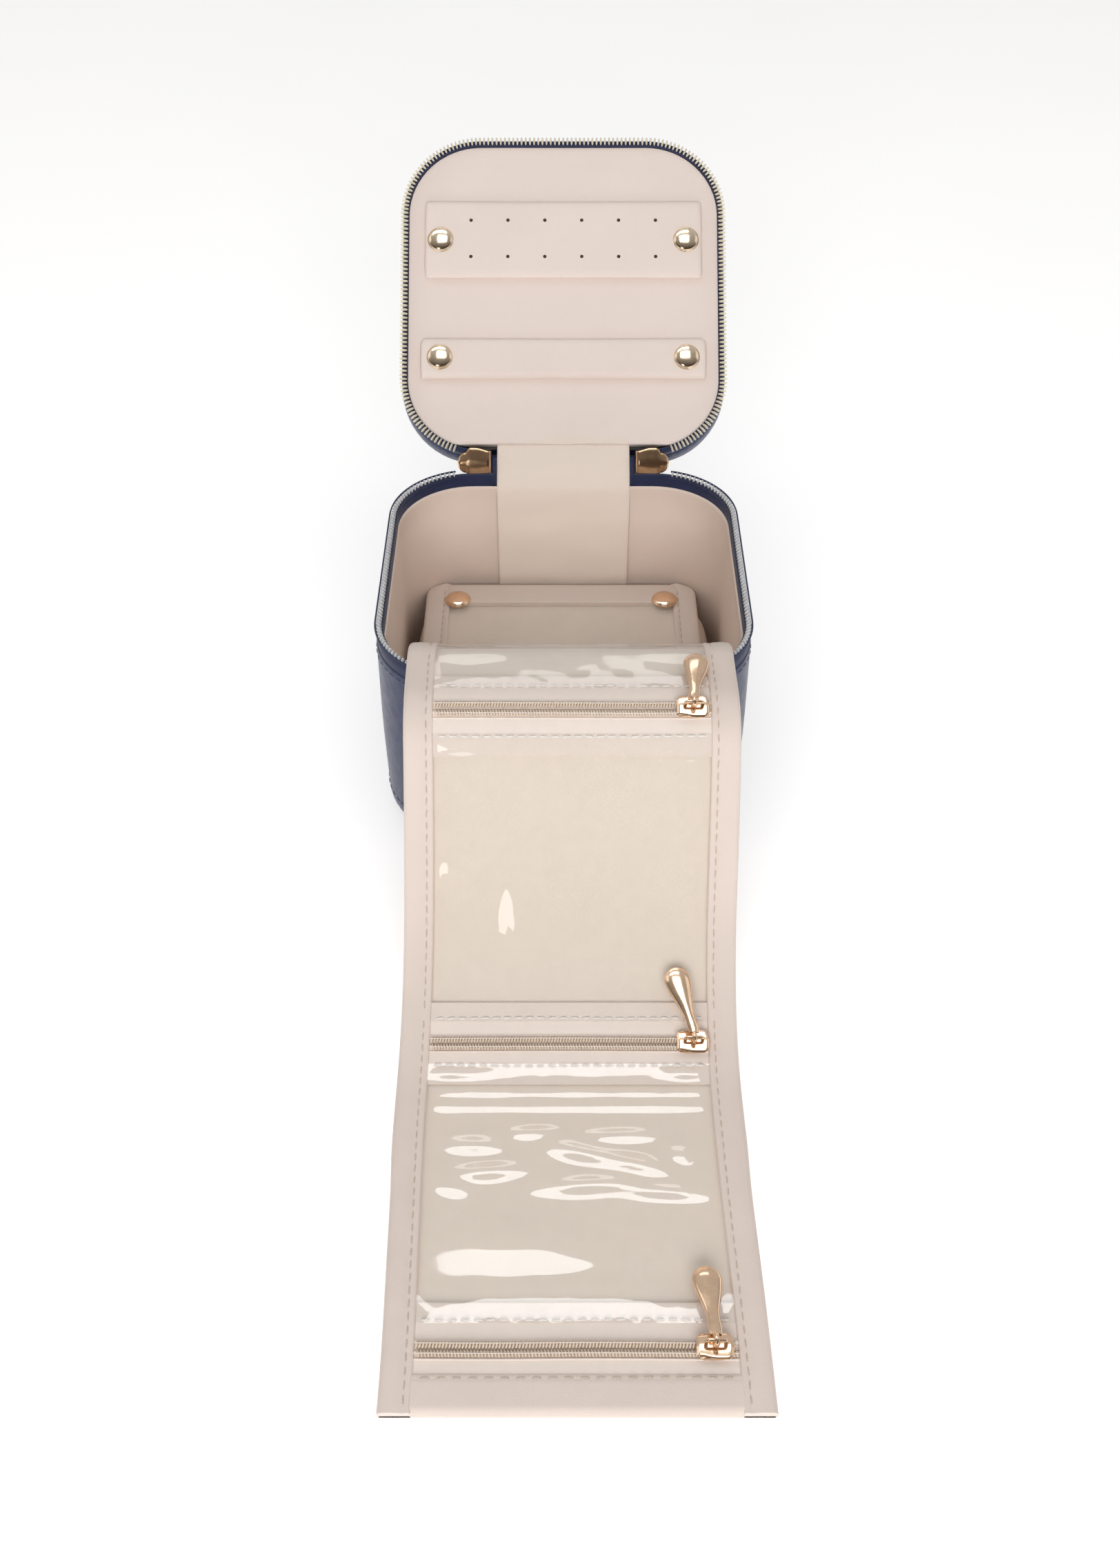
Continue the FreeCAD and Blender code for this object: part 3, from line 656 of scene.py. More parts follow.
def rim_thread(name, rim, place, inset, z, body):
    """A row of stitches all the way round a rim on its outside."""
    start, end = 2.0, rim.length - 2.0
    row = Collected()
    for i in range(int((end - start) / RIM_STITCH_PITCH)):
        u = start + (i + 0.5) * RIM_STITCH_PITCH
        middle = np.array(place(rim.point(u, inset, z)))
        ahead = np.array(place(rim.point(u + 0.5, inset, z))) - middle
        ahead /= np.linalg.norm(ahead)
        out = np.array(place(rim.point(u, inset - 1, z))) - middle
        row.add(bead(middle, ahead, out, np.cross(ahead, out), (1.15, 0.22, 0.26)))
    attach(row.build(name, NAVY_THREAD), body)


def rim_band(name, rim, place, section, start, end, body, *nodes):
    """A navy band that runs along a rim; section is its (inset, height) outline."""
    rings = [[place(rim.point(u, inset, z)) for inset, z in section]
             for u in rim.stations(start, end, 2.0)]
    settle(make_object(name, *loft(rings), NAVY_TAPE), body, "navy_tape", *nodes)


def cord_section(inset, z, wide, high):
    """The (inset, height) outline of a thin cord."""
    return [(inset + wide * math.cos(a), z + high * math.sin(a)) for a in turns(6)]


ZIP_END = 36.6


def rim_teeth(name, rim, place, inset, reach, base, start, end, pitch, material, node, body):
    """The case zip's teeth: one bead per tooth across the rim, with a raised nose."""
    teeth = Collected()
    count = int((end - start) / pitch)
    for i in range(count):
        u = start + (i + 0.5) * (end - start) / count
        centre = np.array(place(rim.point(u, inset, base + 1.3)))
        out = np.array(place(rim.point(u, inset - 1, base + 1.3))) - centre
        up = np.array(place(rim.point(u, inset, base + 2.3))) - centre
        ahead = np.cross(up, out)
        teeth.add(bead(centre, out, ahead, up, (reach, 0.38, 0.85), 8, 5))
        teeth.add(bead(centre + up * 0.55, ahead, out, up, (0.3, 0.6, 0.5), 6, 3))
    settle(teeth.build(name, material), body, "zip_metal", node)


def build_case_zip():
    start, end = ZIP_END, CASE.length - ZIP_END
    edge = STRAP_WIDTH / 2 + 1.5
    base = RIM_TOP - 2.5
    tape = [(inset, base + z) for inset, z in (
        (0.75, -4.6), (0.55, -2.0), (0.45, 0.5), (0.7, 0.9), (1.9, 0.9),
        (2.3, 0.4), (2.55, -1.5), (2.75, -3.6), (1.9, -4.6))]
    rim_band("body_zip_band", CASE, same_place, tape, edge, CASE.length - edge, "case",
             "body_zip_tape")
    rim_teeth("body_zip_teeth", CASE, same_place, 1.45, 0.8, base + 0.15, start, end, 1.65, SILVER,
              "body_zip_coil", "case")
    for number, (inset, lift) in enumerate(((0.3, 1.75), (2.45, 0.6))):
        rim_band("body_zip_cord_%d" % number, CASE, same_place,
                 cord_section(inset, base + lift, 0.28, 0.36), start, end, "case")
    rim_thread("body_rim_stitches", CASE, same_place, 0.28, SHELL_TOP - 2.4, "case")
    rim_thread("body_base_stitches", CASE, same_place, 0.22, 8.2, "case")


def build_body_liner():
    """The lining of the walls and floor: rolled at the top, slightly slack like glued cloth."""
    top, wall = LINER_TOP, 3.0
    profile = [(50, 2.7), (30, 2.7), (14, 2.7), (8.5, 2.75)] + arc_profile(7.3, 7.7, 5.0, -80, 0, 4)
    profile += [(2.32, 30), (2.32, 50), (2.3, top - 0.8), (2.4, top), (2.75, top + 0.25),
                (3.15, top), (3.2, top - 0.8), (wall, top - 2.2)]
    profile += [(wall, z) for z in (56, 50, 44, 38, 32, 26, 20, 14)]
    profile += arc_profile(7.3, 8.3, 4.3, 0, -80, 4) + [(8.5, 3.4), (14, 3.4), (30, 3.4), (50, 3.4)]
    rings = []
    for inset, z in profile:
        ring = []
        for x, y, height in corner_ring(CASE, inset, z):
            slack = 0.0
            if inset == wall:
                slack = (0.6 * ripple(x, y, height * 0.7, 26.0, 3.1)
                         + 0.16 * ripple(x, y, height, 10.0, 1.7))
                slack *= smoothstep((height - CUSHION_TOP - 4.0) / 10.0)
            far = max(math.hypot(x, y), 1.0)
            ring.append((x * (1 + slack / far), y * (1 + slack / far), height))
        rings.append(ring)
    liner = make_object("body_lining", *loft(rings), LINING, sharp=60)
    settle(liner, "case", "liner", "body_liner")


def build_cushion():
    """The padded raised base that the roll is snapped to."""
    top = node_box("base_cushion")[1][2]
    profile = [(40, 5.4), (20, 5.0), (10, 5.2), (7.6, 7.0), (7.1, 10), (7.1, 15), (7.2, top - 4.5),
               (7.8, top - 2.2), (9.4, top - 1.2)] + [(inset, top - 0.7) for inset in (13, 24, 40)]
    pad = make_object("base_pad", *loft([corner_ring(CASE, inset, z) for inset, z in profile]),
                      LINING, sharp=80)
    puff(pad, 2.4, 4.0, 0.6)
    settle(pad, "case", "liner", "base_cushion")


# ---- lid ----
def lid_bulge(p):
    """The lid's soft sides stand out a little beyond its rim, most beside the hinge."""
    x, t, n = p
    swell = 0.6 * smoothstep(-(n + 6.6) / 4.5) * (0.35 + 0.65 * (1 - smoothstep((t - 25) / 45)))
    side = math.copysign(swell * smoothstep((abs(x) - 15) / 30), x)
    return lid_place((x + side, t + (t / LID_HALF[1] - 1) * 0.35 * swell, n))


def build_lid_shell():
    crown, rim = -LID_DEPTH, LID_SHELL_TOP
    profile = [(inset, crown + z) for inset, z in (
        (50, -0.9), (40, -0.85), (28, -0.6), (16, -0.2), (9.5, 0.05))]
    profile += arc_profile(5.6, crown + 5.2, 5.2, -80, 0)
    profile += [(0.3, -9.4), (0.32, rim - 0.5), (0.5, rim - 0.1), (0.9, rim), (1.2, rim - 0.3),
                (1.25, -9.0)]
    profile += arc_profile(5.9, crown + 5.6, 4.6, 0, -80)
    profile += [(inset, crown + 0.85) for inset in (16, 28, 50)]
    navy_shell("lid_shell", LID, lid_bulge, profile, "lid_outer_shell", "lid")
    rim_thread("lid_rim_stitches", LID, lid_place, 0.26, rim - 1.6, "lid")


def build_lid_zip():
    """The lid's half of the zip; its rim is walked so that both ends lie at the hinge."""
    half = LID.length / 2
    start, end = -half + ZIP_END, half - ZIP_END
    base = -2.5
    tape = [(inset, base + z) for inset, z in (
        (0.75, -4.4), (0.55, -2.0), (0.45, 0.5), (0.7, 0.9), (1.9, 0.9),
        (2.15, 0.4), (2.3, -0.8), (2.4, -2.6), (1.9, -4.4))]
    rim_band("lid_zip_band", LID, lid_place, tape, start - 12, end + 12, "lid", "lid_zip_tape")
    rim_teeth("lid_zip_teeth", LID, lid_place, 0.9, 1.3, base, start, end, 1.44, CHAMPAGNE,
              "lid_zip_coil", "lid")
    rim_band("lid_zip_cord", LID, lid_place, cord_section(2.1, base + 0.9, 0.2, 0.3), start, end,
             "lid")


def build_lid_panel():
    """The lid's padded lining: a tucked edge all round and a straight edge at the hinge."""
    top = LID_PANEL_TOP
    profile = [(inset, top + n) for inset, n in (
        (50, -1.7), (20, -1.7), (5, -1.7), (3.0, -1.5), (2.5, -0.6), (2.25, 0.4), (2.45, 0.85),
        (3.4, 0.7), (5.2, 0.15), (8.0, 0.02), (12, 0), (20, 0), (28, 0), (36, 0), (44, 0), (50, 0))]
    rings = []
    for inset, n in profile:
        ring = []
        for x, t, height in corner_ring(LID, inset, n, 2.6):
            if n > top - 0.1:
                height -= 0.16 + 0.16 * ripple(x, t, 0, 30.0, 5.2)
            straight = LID_LINER_START + min(inset, 20) * 0.02
            ring.append(lid_place((x, max(t, straight), height)))
        rings.append(ring)
    panel = make_object("lid_lining", *loft(rings), PANEL, sharp=70)
    settle(panel, "lid", "liner", "lid_liner_panel")


def strip_form(width, low, high, floor, thick):
    """A flat padded strap lying on the lid: crowned, with pressed edges."""
    half, span = width / 2, high - low
    xs = sorted({-half, -half + 0.4, -half + 1.2, half - 1.2, half - 0.4, half}
                | set(np.linspace(-half + 3, half - 3, 40)))
    shares = (0.0, 0.03, 0.1, 0.25, 0.5, 0.75, 0.9, 0.97, 1.0)
    rings = []
    for x in xs:
        end = 1 - smoothstep((half - abs(x)) / 1.3)
        crown = [thick * (1 - 0.35 * (2 * abs(s - 0.5)) ** 8) - 0.5 * thick * end for s in shares]
        rings.append([(x, low + span * s, floor + c) for s, c in zip(shares, crown)]
                     + [(x, low + span * s, floor) for s in reversed(shares)])
    return rings


def punch_holes(name, strip, body):
    """Two rows of six earring holes: small dark wells set into the strip's padded face, their dark
    colour painted shade for the inside of the holes.
    """
    surface = BVHTree.FromPolygons([v.co for v in strip.data.vertices],
                                   [tuple(f.vertices) for f in strip.data.polygons])
    across, up, out = (lid_direction(*axis) for axis in ((1, 0, 0), (0, 1, 0), (0, 0, 1)))
    wells = Collected()
    for t in EARRING_ROWS:
        for column in range(EARRING_COLUMNS):
            x = (column - (EARRING_COLUMNS - 1) / 2) * EARRING_PITCH
            above = Vector(lid_place((x, t, 20.0))) * MM
            face = np.array(surface.ray_cast(above, Vector(-out))[0]) / MM
            wells.add(loft([[face + out * lift + radius * (across * math.cos(a) + up * math.sin(a))
                             for a in turns(10)] for radius, lift in ((0.5, -0.5), (0.62, 0.06))]))
    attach(wells.build(name, HOLE_SHADE), body)


def build_strip(name, node, body, low, high, width, holes):
    form = strip_form(width - 0.8, low + 0.3, high - 0.3, STRIP_FLOOR, 2.4)
    strip = make_object(name, *loft([[lid_place(p) for p in ring] for ring in form]), PANEL,
                        sharp=60)
    puff(strip, 1.1, 3.0, 0.25)
    if holes:
        punch_holes(name + "_holes", strip, body)
    settle(strip, body, "liner", node)


# ---- strap and cloth across the hinge ----
def hinge_sheet(name, width, points, thick, material, nodes_replaced, groove=0.0):
    """A strip that crosses the hinge along a smooth line of (y, z) points, with turned edges."""
    line = smooth_line(points, 1.2)
    half = width / 2
    xs = [-half, -half + 0.25, -half + 0.9, -half + 2.2]
    xs += list(np.linspace(-half + 4, half - 4, 15)) + [-x for x in reversed(xs)]
    rings, length = [], 0.0
    for i, (y, z) in enumerate(line):
        before, after = line[max(i - 1, 0)], line[min(i + 1, len(line) - 1)]
        ahead = np.array(after) - np.array(before)
        ahead /= np.linalg.norm(ahead)
        off = np.array((ahead[1], -ahead[0]))
        length += np.linalg.norm(np.array(line[i]) - np.array(before))
        upper = []
        for x in xs:
            edge = max(0.0, 1 - (half - abs(x)) / 0.6)
            soft = groove * ripple(x, y * 2.2, z * 2.2, 21.0, 4.4)
            up = thick * (1 - 0.45 * edge) + soft
            upper.append((x, y - off[0] * up, z - off[1] * up))
        rings.append(upper + [(x, y, z) for x in reversed(xs)])
    sheet = make_object(name, *loft(rings), material, sharp=60)
    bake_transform(sheet)
    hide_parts(*nodes_replaced)


def smooth_line(points, step):
    """Points along a Catmull-Rom curve through a few given ones."""
    p = [np.array(q, float) for q in points]
    p = [2 * p[0] - p[1]] + p + [2 * p[-1] - p[-2]]
    line = []
    for a, b, c, d in zip(p, p[1:], p[2:], p[3:]):
        count = max(2, round(np.linalg.norm(c - b) / step))
        for i in range(count):
            t = i / count
            line.append(tuple(0.5 * (2 * b + (c - a) * t + (2 * a - 5 * b + 4 * c - d) * t * t
                                     + (3 * b - a - 3 * c + d) * t ** 3)))
    return line + [tuple(p[-2])]


def build_hinge():
    """The beige strap inside and the navy cloth behind it, each along its own line of (y, z)."""
    y, z = HINGE
    wall_y = RIM_HALF[1] - 4.2
    strap = [(wall_y, CUSHION_TOP - 2.0), (wall_y, 36.0), (wall_y - 0.1, 50.0),
             (wall_y + 0.1, 60.5), (wall_y + 1.7, 65.4), (y - 1.0, z - 2.2), (y + 2.9, z + 0.7),
             lid_place((0, 3.4, LID_PANEL_TOP - 0.15))[1:],
             lid_place((0, 7.5, LID_PANEL_TOP - 0.9))[1:]]
    hinge_sheet("hinge_strap", STRAP_WIDTH, strap, 0.75, STRAP,
                ("hinge_strap_body", "hinge_strap_lid"),
                0.4)
    back_y = RIM_HALF[1] - 0.5
    outside = [(back_y - 0.2, SHELL_TOP - 3.4), (back_y - 0.1, SHELL_TOP - 0.3),
               (back_y + 2.2, SHELL_TOP + 1.9), (y + 1.6, z - 3.6),
               lid_place((0, 0.7, LID_SHELL_TOP + 0.2))[1:],
               lid_place((0, 1.0, LID_SHELL_TOP - 3.0))[1:]]
    hinge_sheet("hinge_cloth", 2 * HINGE_CLOTH_HALF + 0.2, outside, 0.7, NAVY,
                ("hinge_fabric_body", "hinge_fabric_lid"))


# ---- press snaps ----
def lathe(profile, centre, up, sides=36):
    """A turned form: profile is (radius, height) from foot to top, standing along up."""
    centre, up = np.array(centre, float), np.array(up, float)
    side = np.array((1.0, 0.0, 0.0))
    other = np.cross(up, side)
    return loft([[centre + up * h + r * (side * math.cos(a) + other * math.sin(a))
                  for a in turns(sides)] for r, h in profile])


SNAP_PROFILE = [(3.9, 0.0), (4.4, 0.06), (4.5, 0.28), (4.42, 0.5), (4.2, 0.66)]
SNAP_PROFILE += [(4.2 * math.cos(a), 0.66 + 1.2 * math.sin(a)) for a in np.linspace(0.12, 1.5, 11)]


def build_snaps(name, node, body, centres, up, material=ROSE_GOLD):
    caps = Collected()
    for centre in centres:
        caps.add(lathe(SNAP_PROFILE, centre, up))
    settle(caps.build(name, material, 40), body, "rose_gold", node)


def build_lid_strips():
    """The earring panel and the ring bar: name, low and high edge, width, height of the snaps."""
    out = lid_direction(0, 0, 1)
    for name, low, high, width, snap in (("earring_panel", 62.0, 90.8, 97.2, 75.9),
                                         ("ring_bar", 26.5, 41.5, 99.6, 34.2)):
        build_strip(name + "_pad", name, name, low, high, width, name == "earring_panel")
        centres = [lid_place((x, snap, STRIP_FLOOR + 2.3)) for x in (-LID_SNAP_X, LID_SNAP_X)]
        build_snaps(name + "_caps", name + "_snap_caps", name, centres, out, PALE_GOLD)


# ---- zip pulls: a bowling-pin tab on an eye ----
PULL_LENGTH = 21.0
HEAD_RADIUS = 3.7
NECK = 1.55
PULL_EYE_RADIUS = 1.32


def pull_form(sway=0.0):
    """Lies along +Y with its eye round the X axis; the head swings sideways by sway degrees."""
    head_at = PULL_LENGTH - HEAD_RADIUS
    stations = [(1.3, 1.35, 0.55), (2.4, 1.6, 0.62), (4.0, 1.62, 0.66)]
    for i in range(1, 9):
        t = i / 9
        swell = (HEAD_RADIUS - 0.25 - NECK) * smoothstep((t - 0.15) / 0.85)
        stations.append((4.0 + (head_at - 5.0) * t, NECK + swell, 0.66 + 0.5 * smoothstep(t)))
    for a in np.linspace(-0.2, 1.5, 9):
        stations.append((head_at + HEAD_RADIUS * math.sin(a), HEAD_RADIUS * math.cos(a),
                         1.2 * math.cos(a) ** 0.55))
    lean, swing_at = math.radians(sway), 2.2
    rings = []
    for y, half, thick in stations:
        ring = []
        for a in turns(28):
            c, s = math.cos(a), math.sin(a)
            x = half * math.copysign(abs(c) ** 0.9, c)
            rise = thick * (1.45 if s > 0 else 1.0) * math.copysign(abs(s) ** 0.9, s)
            past = y - swing_at
            if past > 0:
                ring.append(np.array((x * math.cos(lean) - past * math.sin(lean),
                                      swing_at + x * math.sin(lean) + past * math.cos(lean), rise)))
            else:
                ring.append(np.array((x, y, rise)))
        rings.append(ring)
    form = Collected()
    form.add(loft(rings))
    eye = [[np.array((0.62 * math.sin(b), (PULL_EYE_RADIUS + 0.5 * math.cos(b)) * math.cos(a),
                      (PULL_EYE_RADIUS + 0.5 * math.cos(b)) * math.sin(a))) for b in turns(8)]
           for a in turns(22)]
    form.add(loft(eye, closed=True))
    return form


def place_form(form, origin, along, off):
    """Moves a form drawn with Y along and Z off a surface to a place; X stays the case's X."""
    side = np.array((1.0, 0.0, 0.0))
    along, off, origin = (np.array(v, float) for v in (along, off, origin))
    form.points = [tuple(origin + p[0] * side + p[1] * along + p[2] * off) for p in form.points]
    return form


def turned(along, off, degrees):
    """The two directions turned towards off by an angle."""
    a = math.radians(degrees)
    along, off = np.array(along), np.array(off)
    return along * math.cos(a) + off * math.sin(a), off * math.cos(a) - along * math.sin(a)


def build_pull(name, node, body, origin, along, off, sway=0.0):
    pull = place_form(pull_form(sway), origin, along, off).build(name, ROSE_GOLD, 60)
    settle(pull, body, "rose_gold", node)


# ---- sliders ----
PLATE_STEPS = 26


def plate_form(half_length, outline, low, high, crown):
    """A plate along X whose half width is outline(share) and whose top is ridged by crown."""
    rings = []
    for i in range(PLATE_STEPS + 1):
        share = i / PLATE_STEPS
        x = -half_length + 2 * half_length * share
        half = max(outline(share), 0.05)
        end = min(share, 1 - share) * 2 * half_length
        swell = min(1.0, 0.35 + end / 0.9)
        left = [(-1, 0.0), (-1, 0.6), (-0.93, 0.9), (-0.8, 1.0), (-0.4, 1.0 + 0.7 * crown)]
        cross = left + [(0, 1.0 + crown)] + [(-y, h) for y, h in reversed(left)]
        rings.append([np.array((x, y * half, low + (high - low) * h * swell)) for y, h in cross])
    return loft(rings)


def bridge_path(half, low, high):
    """An arched bar along X whose top is level."""
    path = [(-half, 0, low), (-half, 0, low + 0.6 * (high - low))]
    path += [(-half + 0.8 - 0.8 * math.cos(a), 0, high - 0.8 + 0.8 * math.sin(a))
             for a in np.linspace(0.3, 1.5, 4)]
    return path + [(-x, y, z) for x, y, z in reversed(path)]


def case_outline(share):
    """The slider's edge: square at the strap, then a shoulder, a notch and a blunt nose."""
    wave = 3.9 + 1.0 * smoothstep(share / 0.45) - 1.5 * smoothstep((share - 0.62) / 0.16)
    nose = 3.4 * math.sqrt(max(0.0, 1 - ((share - 0.72) / 0.28) ** 2)) if share > 0.72 else 9.0
    return min(wave, nose)


def zip_outline(share):
    """A small slider's edge: a straight heel, round shoulders and a narrower nose."""
    wide = 2.6 + 0.7 * smoothstep((share - 0.05) / 0.5)
    nose = 3.3 * math.sqrt(max(0.0, 1 - ((share - 0.8) / 0.2) ** 2)) if share > 0.8 else 9.0
    return min(wide, nose)


def build_case_sliders():
    """The two sliders of the case zip, parked at the ends of the strap, and their pulls."""
    tilt = math.radians(25.0)
    y, z = HINGE[0] - 1.1, HINGE[1] - 0.1
    x, bridge = HINGE_CLOTH_HALF + CASE_SLIDER_HALF, 3.8
    rise = math.pi / 2 - tilt
    off = (0.0, -math.sin(rise), math.cos(rise))
    along = (0.0, math.cos(rise), math.sin(rise))
    both = Collected()
    for side in (-1, 1):
        form = Collected()
        points, faces = plate_form(CASE_SLIDER_HALF, case_outline, 1.0, 1.75, 0.9)
        form.add((points, faces))
        form.add(([(p[0], p[1], -p[2]) for p in points], faces))
        form.add(bead((0.8, 0, 0), (0, 0, 1), (1, 0, 0), (0, 1, 0), (1.25, 1.6, 1.5), 12, 4))
        form.add(tube([(px, py, -pz) for px, py, pz in bridge_path(2.6, 1.6, bridge)], 0.5, 10))
        if side < 0:
            form.points = [(-p[0], p[1], p[2]) for p in form.points]
        place_form(form, (side * x, y, z), along, off)
        both.add((form.points, form.faces))
    settle(both.build("case_sliders", DARK_GOLD), "case", "rose_gold", "case_zip_sliders")
    eye = (y + bridge * math.cos(tilt), z - bridge * math.sin(tilt))
    for name, side in (("left", -1), ("right", 1)):
        build_pull("outer_pull_" + name, "case_pull_" + name, "case_pull_" + name,
                   (side * x, *eye), (0, 0, -1), (0, 1, 0))


PULL_TILT = (0.0, -17.0, 11.0, 0.0)
PULL_SWAY = (0.0, -6.0, 16.0, 4.0)
PULL_EYE = 7.0
SLIDER_X = 34.1


def build_zip_slider(index):
    """A roll slider with its bridge, and the pull that hangs on it."""
    s = ZIPS[index]
    centre = -0.7 if index == 0 else 1.9
    x = centre + SLIDER_X
    form = Collected()
    form.add(plate_form(4.6, zip_outline, 3.75, 4.35, 0.3))
    form.add(plate_form(4.4, zip_outline, 0.95, 1.4, 0.05))
    for side in (-2.9, 2.9):
        form.add(bead((-0.6, side, 3.5), (1, 0, 0), (0, 1, 0), (0, 0, 1), (3.4, 0.4, 0.75), 8, 4))
    form.add(bead((2.6, 0, 2.6), (0, 0, 1), (1, 0, 0), (0, 1, 0), (1.6, 1.0, 0.4), 10, 4))
    form.add(tube(bridge_path(2.4, 4.0, PULL_EYE), 0.5, 10))
    along, off = roll_axes(s)
    y, z, _ = follow(RUNS, s)
    back = (0.0, -along[1], -along[2])
    place_form(form, (x, y, z), back, off)
    part = "zip_slider_%d" % index
    settle(form.build(part + "_body", ROSE_GOLD), part, "rose_gold", part)
    droop = math.degrees(math.atan2(PULL_EYE - FACE - 1.4, PULL_LENGTH))
    eye = (x, y + off[1] * PULL_EYE, z + off[2] * PULL_EYE)
    build_pull("zip_pull_%d_tab" % index, "zip_pull_%d" % index, "zip_pull_%d" % index, eye,
               *turned(back, off, PULL_TILT[index] - droop), PULL_SWAY[index])


# ---- the pocket roll ----
INNER = ROLL_HALF - BINDING
REAR_EDGE, REAR_ROUND = 1.2, 5.5
CLOTH_INSET = 0.6


def outer_half(s):
    """Half the roll's width at a station: round rear corners, a little uneven along its length."""
    half = ROLL_HALF + 0.25 * ripple(s, 0, 0, 46.0, 2.0) - 0.45 * smoothstep((s - 285) / 20)
    if s < REAR_EDGE + REAR_ROUND:
        into = REAR_ROUND + REAR_EDGE - s
        half -= REAR_ROUND - math.sqrt(max(0.0, REAR_ROUND ** 2 - into ** 2))
    return half


def roll_strips(name, pieces, material, ride, step=1.6):
    """Closed solids that follow the roll, joined as one piece; each is (start, end, outline(s))."""
    points, faces, uvs = [], [], []
    for start, end, outline in pieces:
        rings = []
        for s in spaced(start, end, step):
            section = outline(s)
            rings.append([on_roll(s, h, x) for x, h in section])
            uvs += [(x * MM, s * MM) for x, h in section]
        new_points, new_faces = loft(rings)
        faces += [tuple(len(points) + i for i in f) for f in new_faces]
        points += new_points
    obj = make_object(name, points, faces, material, uvs, sharp=55)
    attach_to_roll(obj, ride)
    return obj


def sheet_outline(low, high):
    def outline(s):
        half = outer_half(s) - CLOTH_INSET
        return slab_outline(-half, half, lambda x: low, lambda x: high(s, x), 22)
    return outline


def binding_outline(side):
    """Folded leather round the roll's edge, with a pressed stitch line and a lip inside it."""
    form = ((0.02, 0.03), (0.5, 0.0), (0.9, 0.02), (0.975, 0.35), (1.0, 1.0), (0.99, 1.7),
            (0.945, 2.3), (0.85, 2.56), (0.62, 2.66), (0.36, 2.52), (0.265, 2.26), (0.2, 2.26),
            (0.13, 2.46), (0.05, 2.42), (0.0, 2.1), (0.0, 1.2))

    def outline(s):
        outer = outer_half(s)
        puffy = 0.14 * ripple(s, side * 50, 0, 13.0, 6.0) + 0.08 * ripple(s, side * 20, 0, 5.0, 1.0)
        points = []
        for share, h in form:
            lift = puffy * smoothstep((h - 1.2) / 1.0) if share > 0.3 else 0.0
            points.append((side * (INNER + (outer - INNER) * share), h + lift))
        return points
    return outline


WINDOWS = {"a": (11.6, ZIPS[0] - 6.8, 0.35), "b": (ZIPS[0] + 6.2, ZIPS[1] - 6.9, 0.55),
           "c": (ZIPS[1] + 6.2, ZIPS[2] - 6.7, 0.45), "d": (ZIPS[2] + 6.2, ZIPS[3] - 6.9, 0.2)}
WINDOW_RIDES = {"a": "case", "b": "case", "c": "fold_c", "d": "fold_d"}
ZIP_RIDES = ("case", "fold_c", "fold_d", "roll_d")
ROW_RIDES = ("case", "case", "roll_c", "roll_d")


# dents and folds in the films: x, station, half width across, half length along, height, lean
FILM_FOLDS = {
    "a": ((6, 38, 9, 3, 0.4, 0),),
    "b": ((-22, 84, 16, 2.2, 0.4, 1), (20, 88, 14, 2, 0.4, -2)),
    "c": ((-14, 231, 3.2, 18, 0.95, 0.1), (-34, 205, 2.2, 3, 0.5, 0), (-31, 169.5, 7, 1.5, 0.6, 0),
          (27, 169, 5, 1.4, 0.5, 0.5), (33, 171.5, 3, 1.6, 0.6, -0.6), (36.5, 178, 1.2, 6, 0.4, 0)),
    "d": ((0, 270.9, 300, 3.2, 0.46, 0), (0, 275.5, 300, 1.6, 0.27, 0),
          (-32, 264.4, 9, 2.4, 0.5, 0), (33, 264.4, 7, 2.4, 0.5, 0),
          (-17, 318.5, 17, 7, 0.76, 0), (-8, 331.5, 28, 4, 0.5, 0),
          (-25, 288, 9, 2.6, 0.62, 0.5), (-10, 284, 8, 2, 0.5, -0.9),
          (-22, 296, 10, 2.6, 0.7, -1.2),
          (2, 290, 7, 3.2, 0.72, 1.4), (13, 285, 11, 2.2, 0.55, -1), (18, 294, 7, 3.4, 0.8, 1.2),
          (29, 291, 4, 2.6, 0.5, 0.4), (5, 300, 12, 2.6, 0.66, -1.6), (-31, 301, 4, 2.2, 0.45, 0.6),
          (24, 302, 9, 2.2, 0.6, 1.4))}


def window_height(letter):
    """The film lies on the zip tapes at its ends and stands in soft waves over the pocket."""
    start, end, sway = WINDOWS[letter]
    seed = ord(letter)

    def height(s, x):
        near = min(s - start, end - s)
        free = smoothstep((near - 3.0) / 9.0) * smoothstep((INNER - abs(x)) / 7.0)
        wave = (ripple(x * 0.5, s, 0, 17.0, 7.0 + seed)
                + 0.35 * ripple(x * 0.7, s, 0, 7.0, 2.0 + seed))
        pulled = 0.1 + 0.16 * smoothstep((abs(x) - 18) / 12)
        pucker = (pulled * ripple(x, s * 0.4, 0, 3.6, 4.0) * (1 - smoothstep(near / 11.0))
                  * smoothstep(near / 2.0))
        folds = sum(tall * math.exp(-((x - x0 - lean * (s - s0)) / wide) ** 2
                                    - ((s - s0) / long) ** 2)
                    for x0, s0, wide, long, tall, lean in FILM_FOLDS[letter])
        folds *= smoothstep(near / 4.0) * smoothstep((INNER + 0.4 - abs(x)) / 4.0)
        return 2.12 + pucker - free * 0.25 + free * sway * wave + folds
    return height


def build_window(letter):
    start, end, _ = WINDOWS[letter]
    height, reach = window_height(letter), INNER + 0.35

    def outline(s):
        return slab_outline(-reach, reach, lambda x: height(s, x), lambda x: height(s, x) + 0.16,
                            80)
    film = roll_strips("window_" + letter, [(start, end, outline)], VINYL, WINDOW_RIDES[letter],
                       0.9)
    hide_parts("pocket_window_" + letter)
    return film


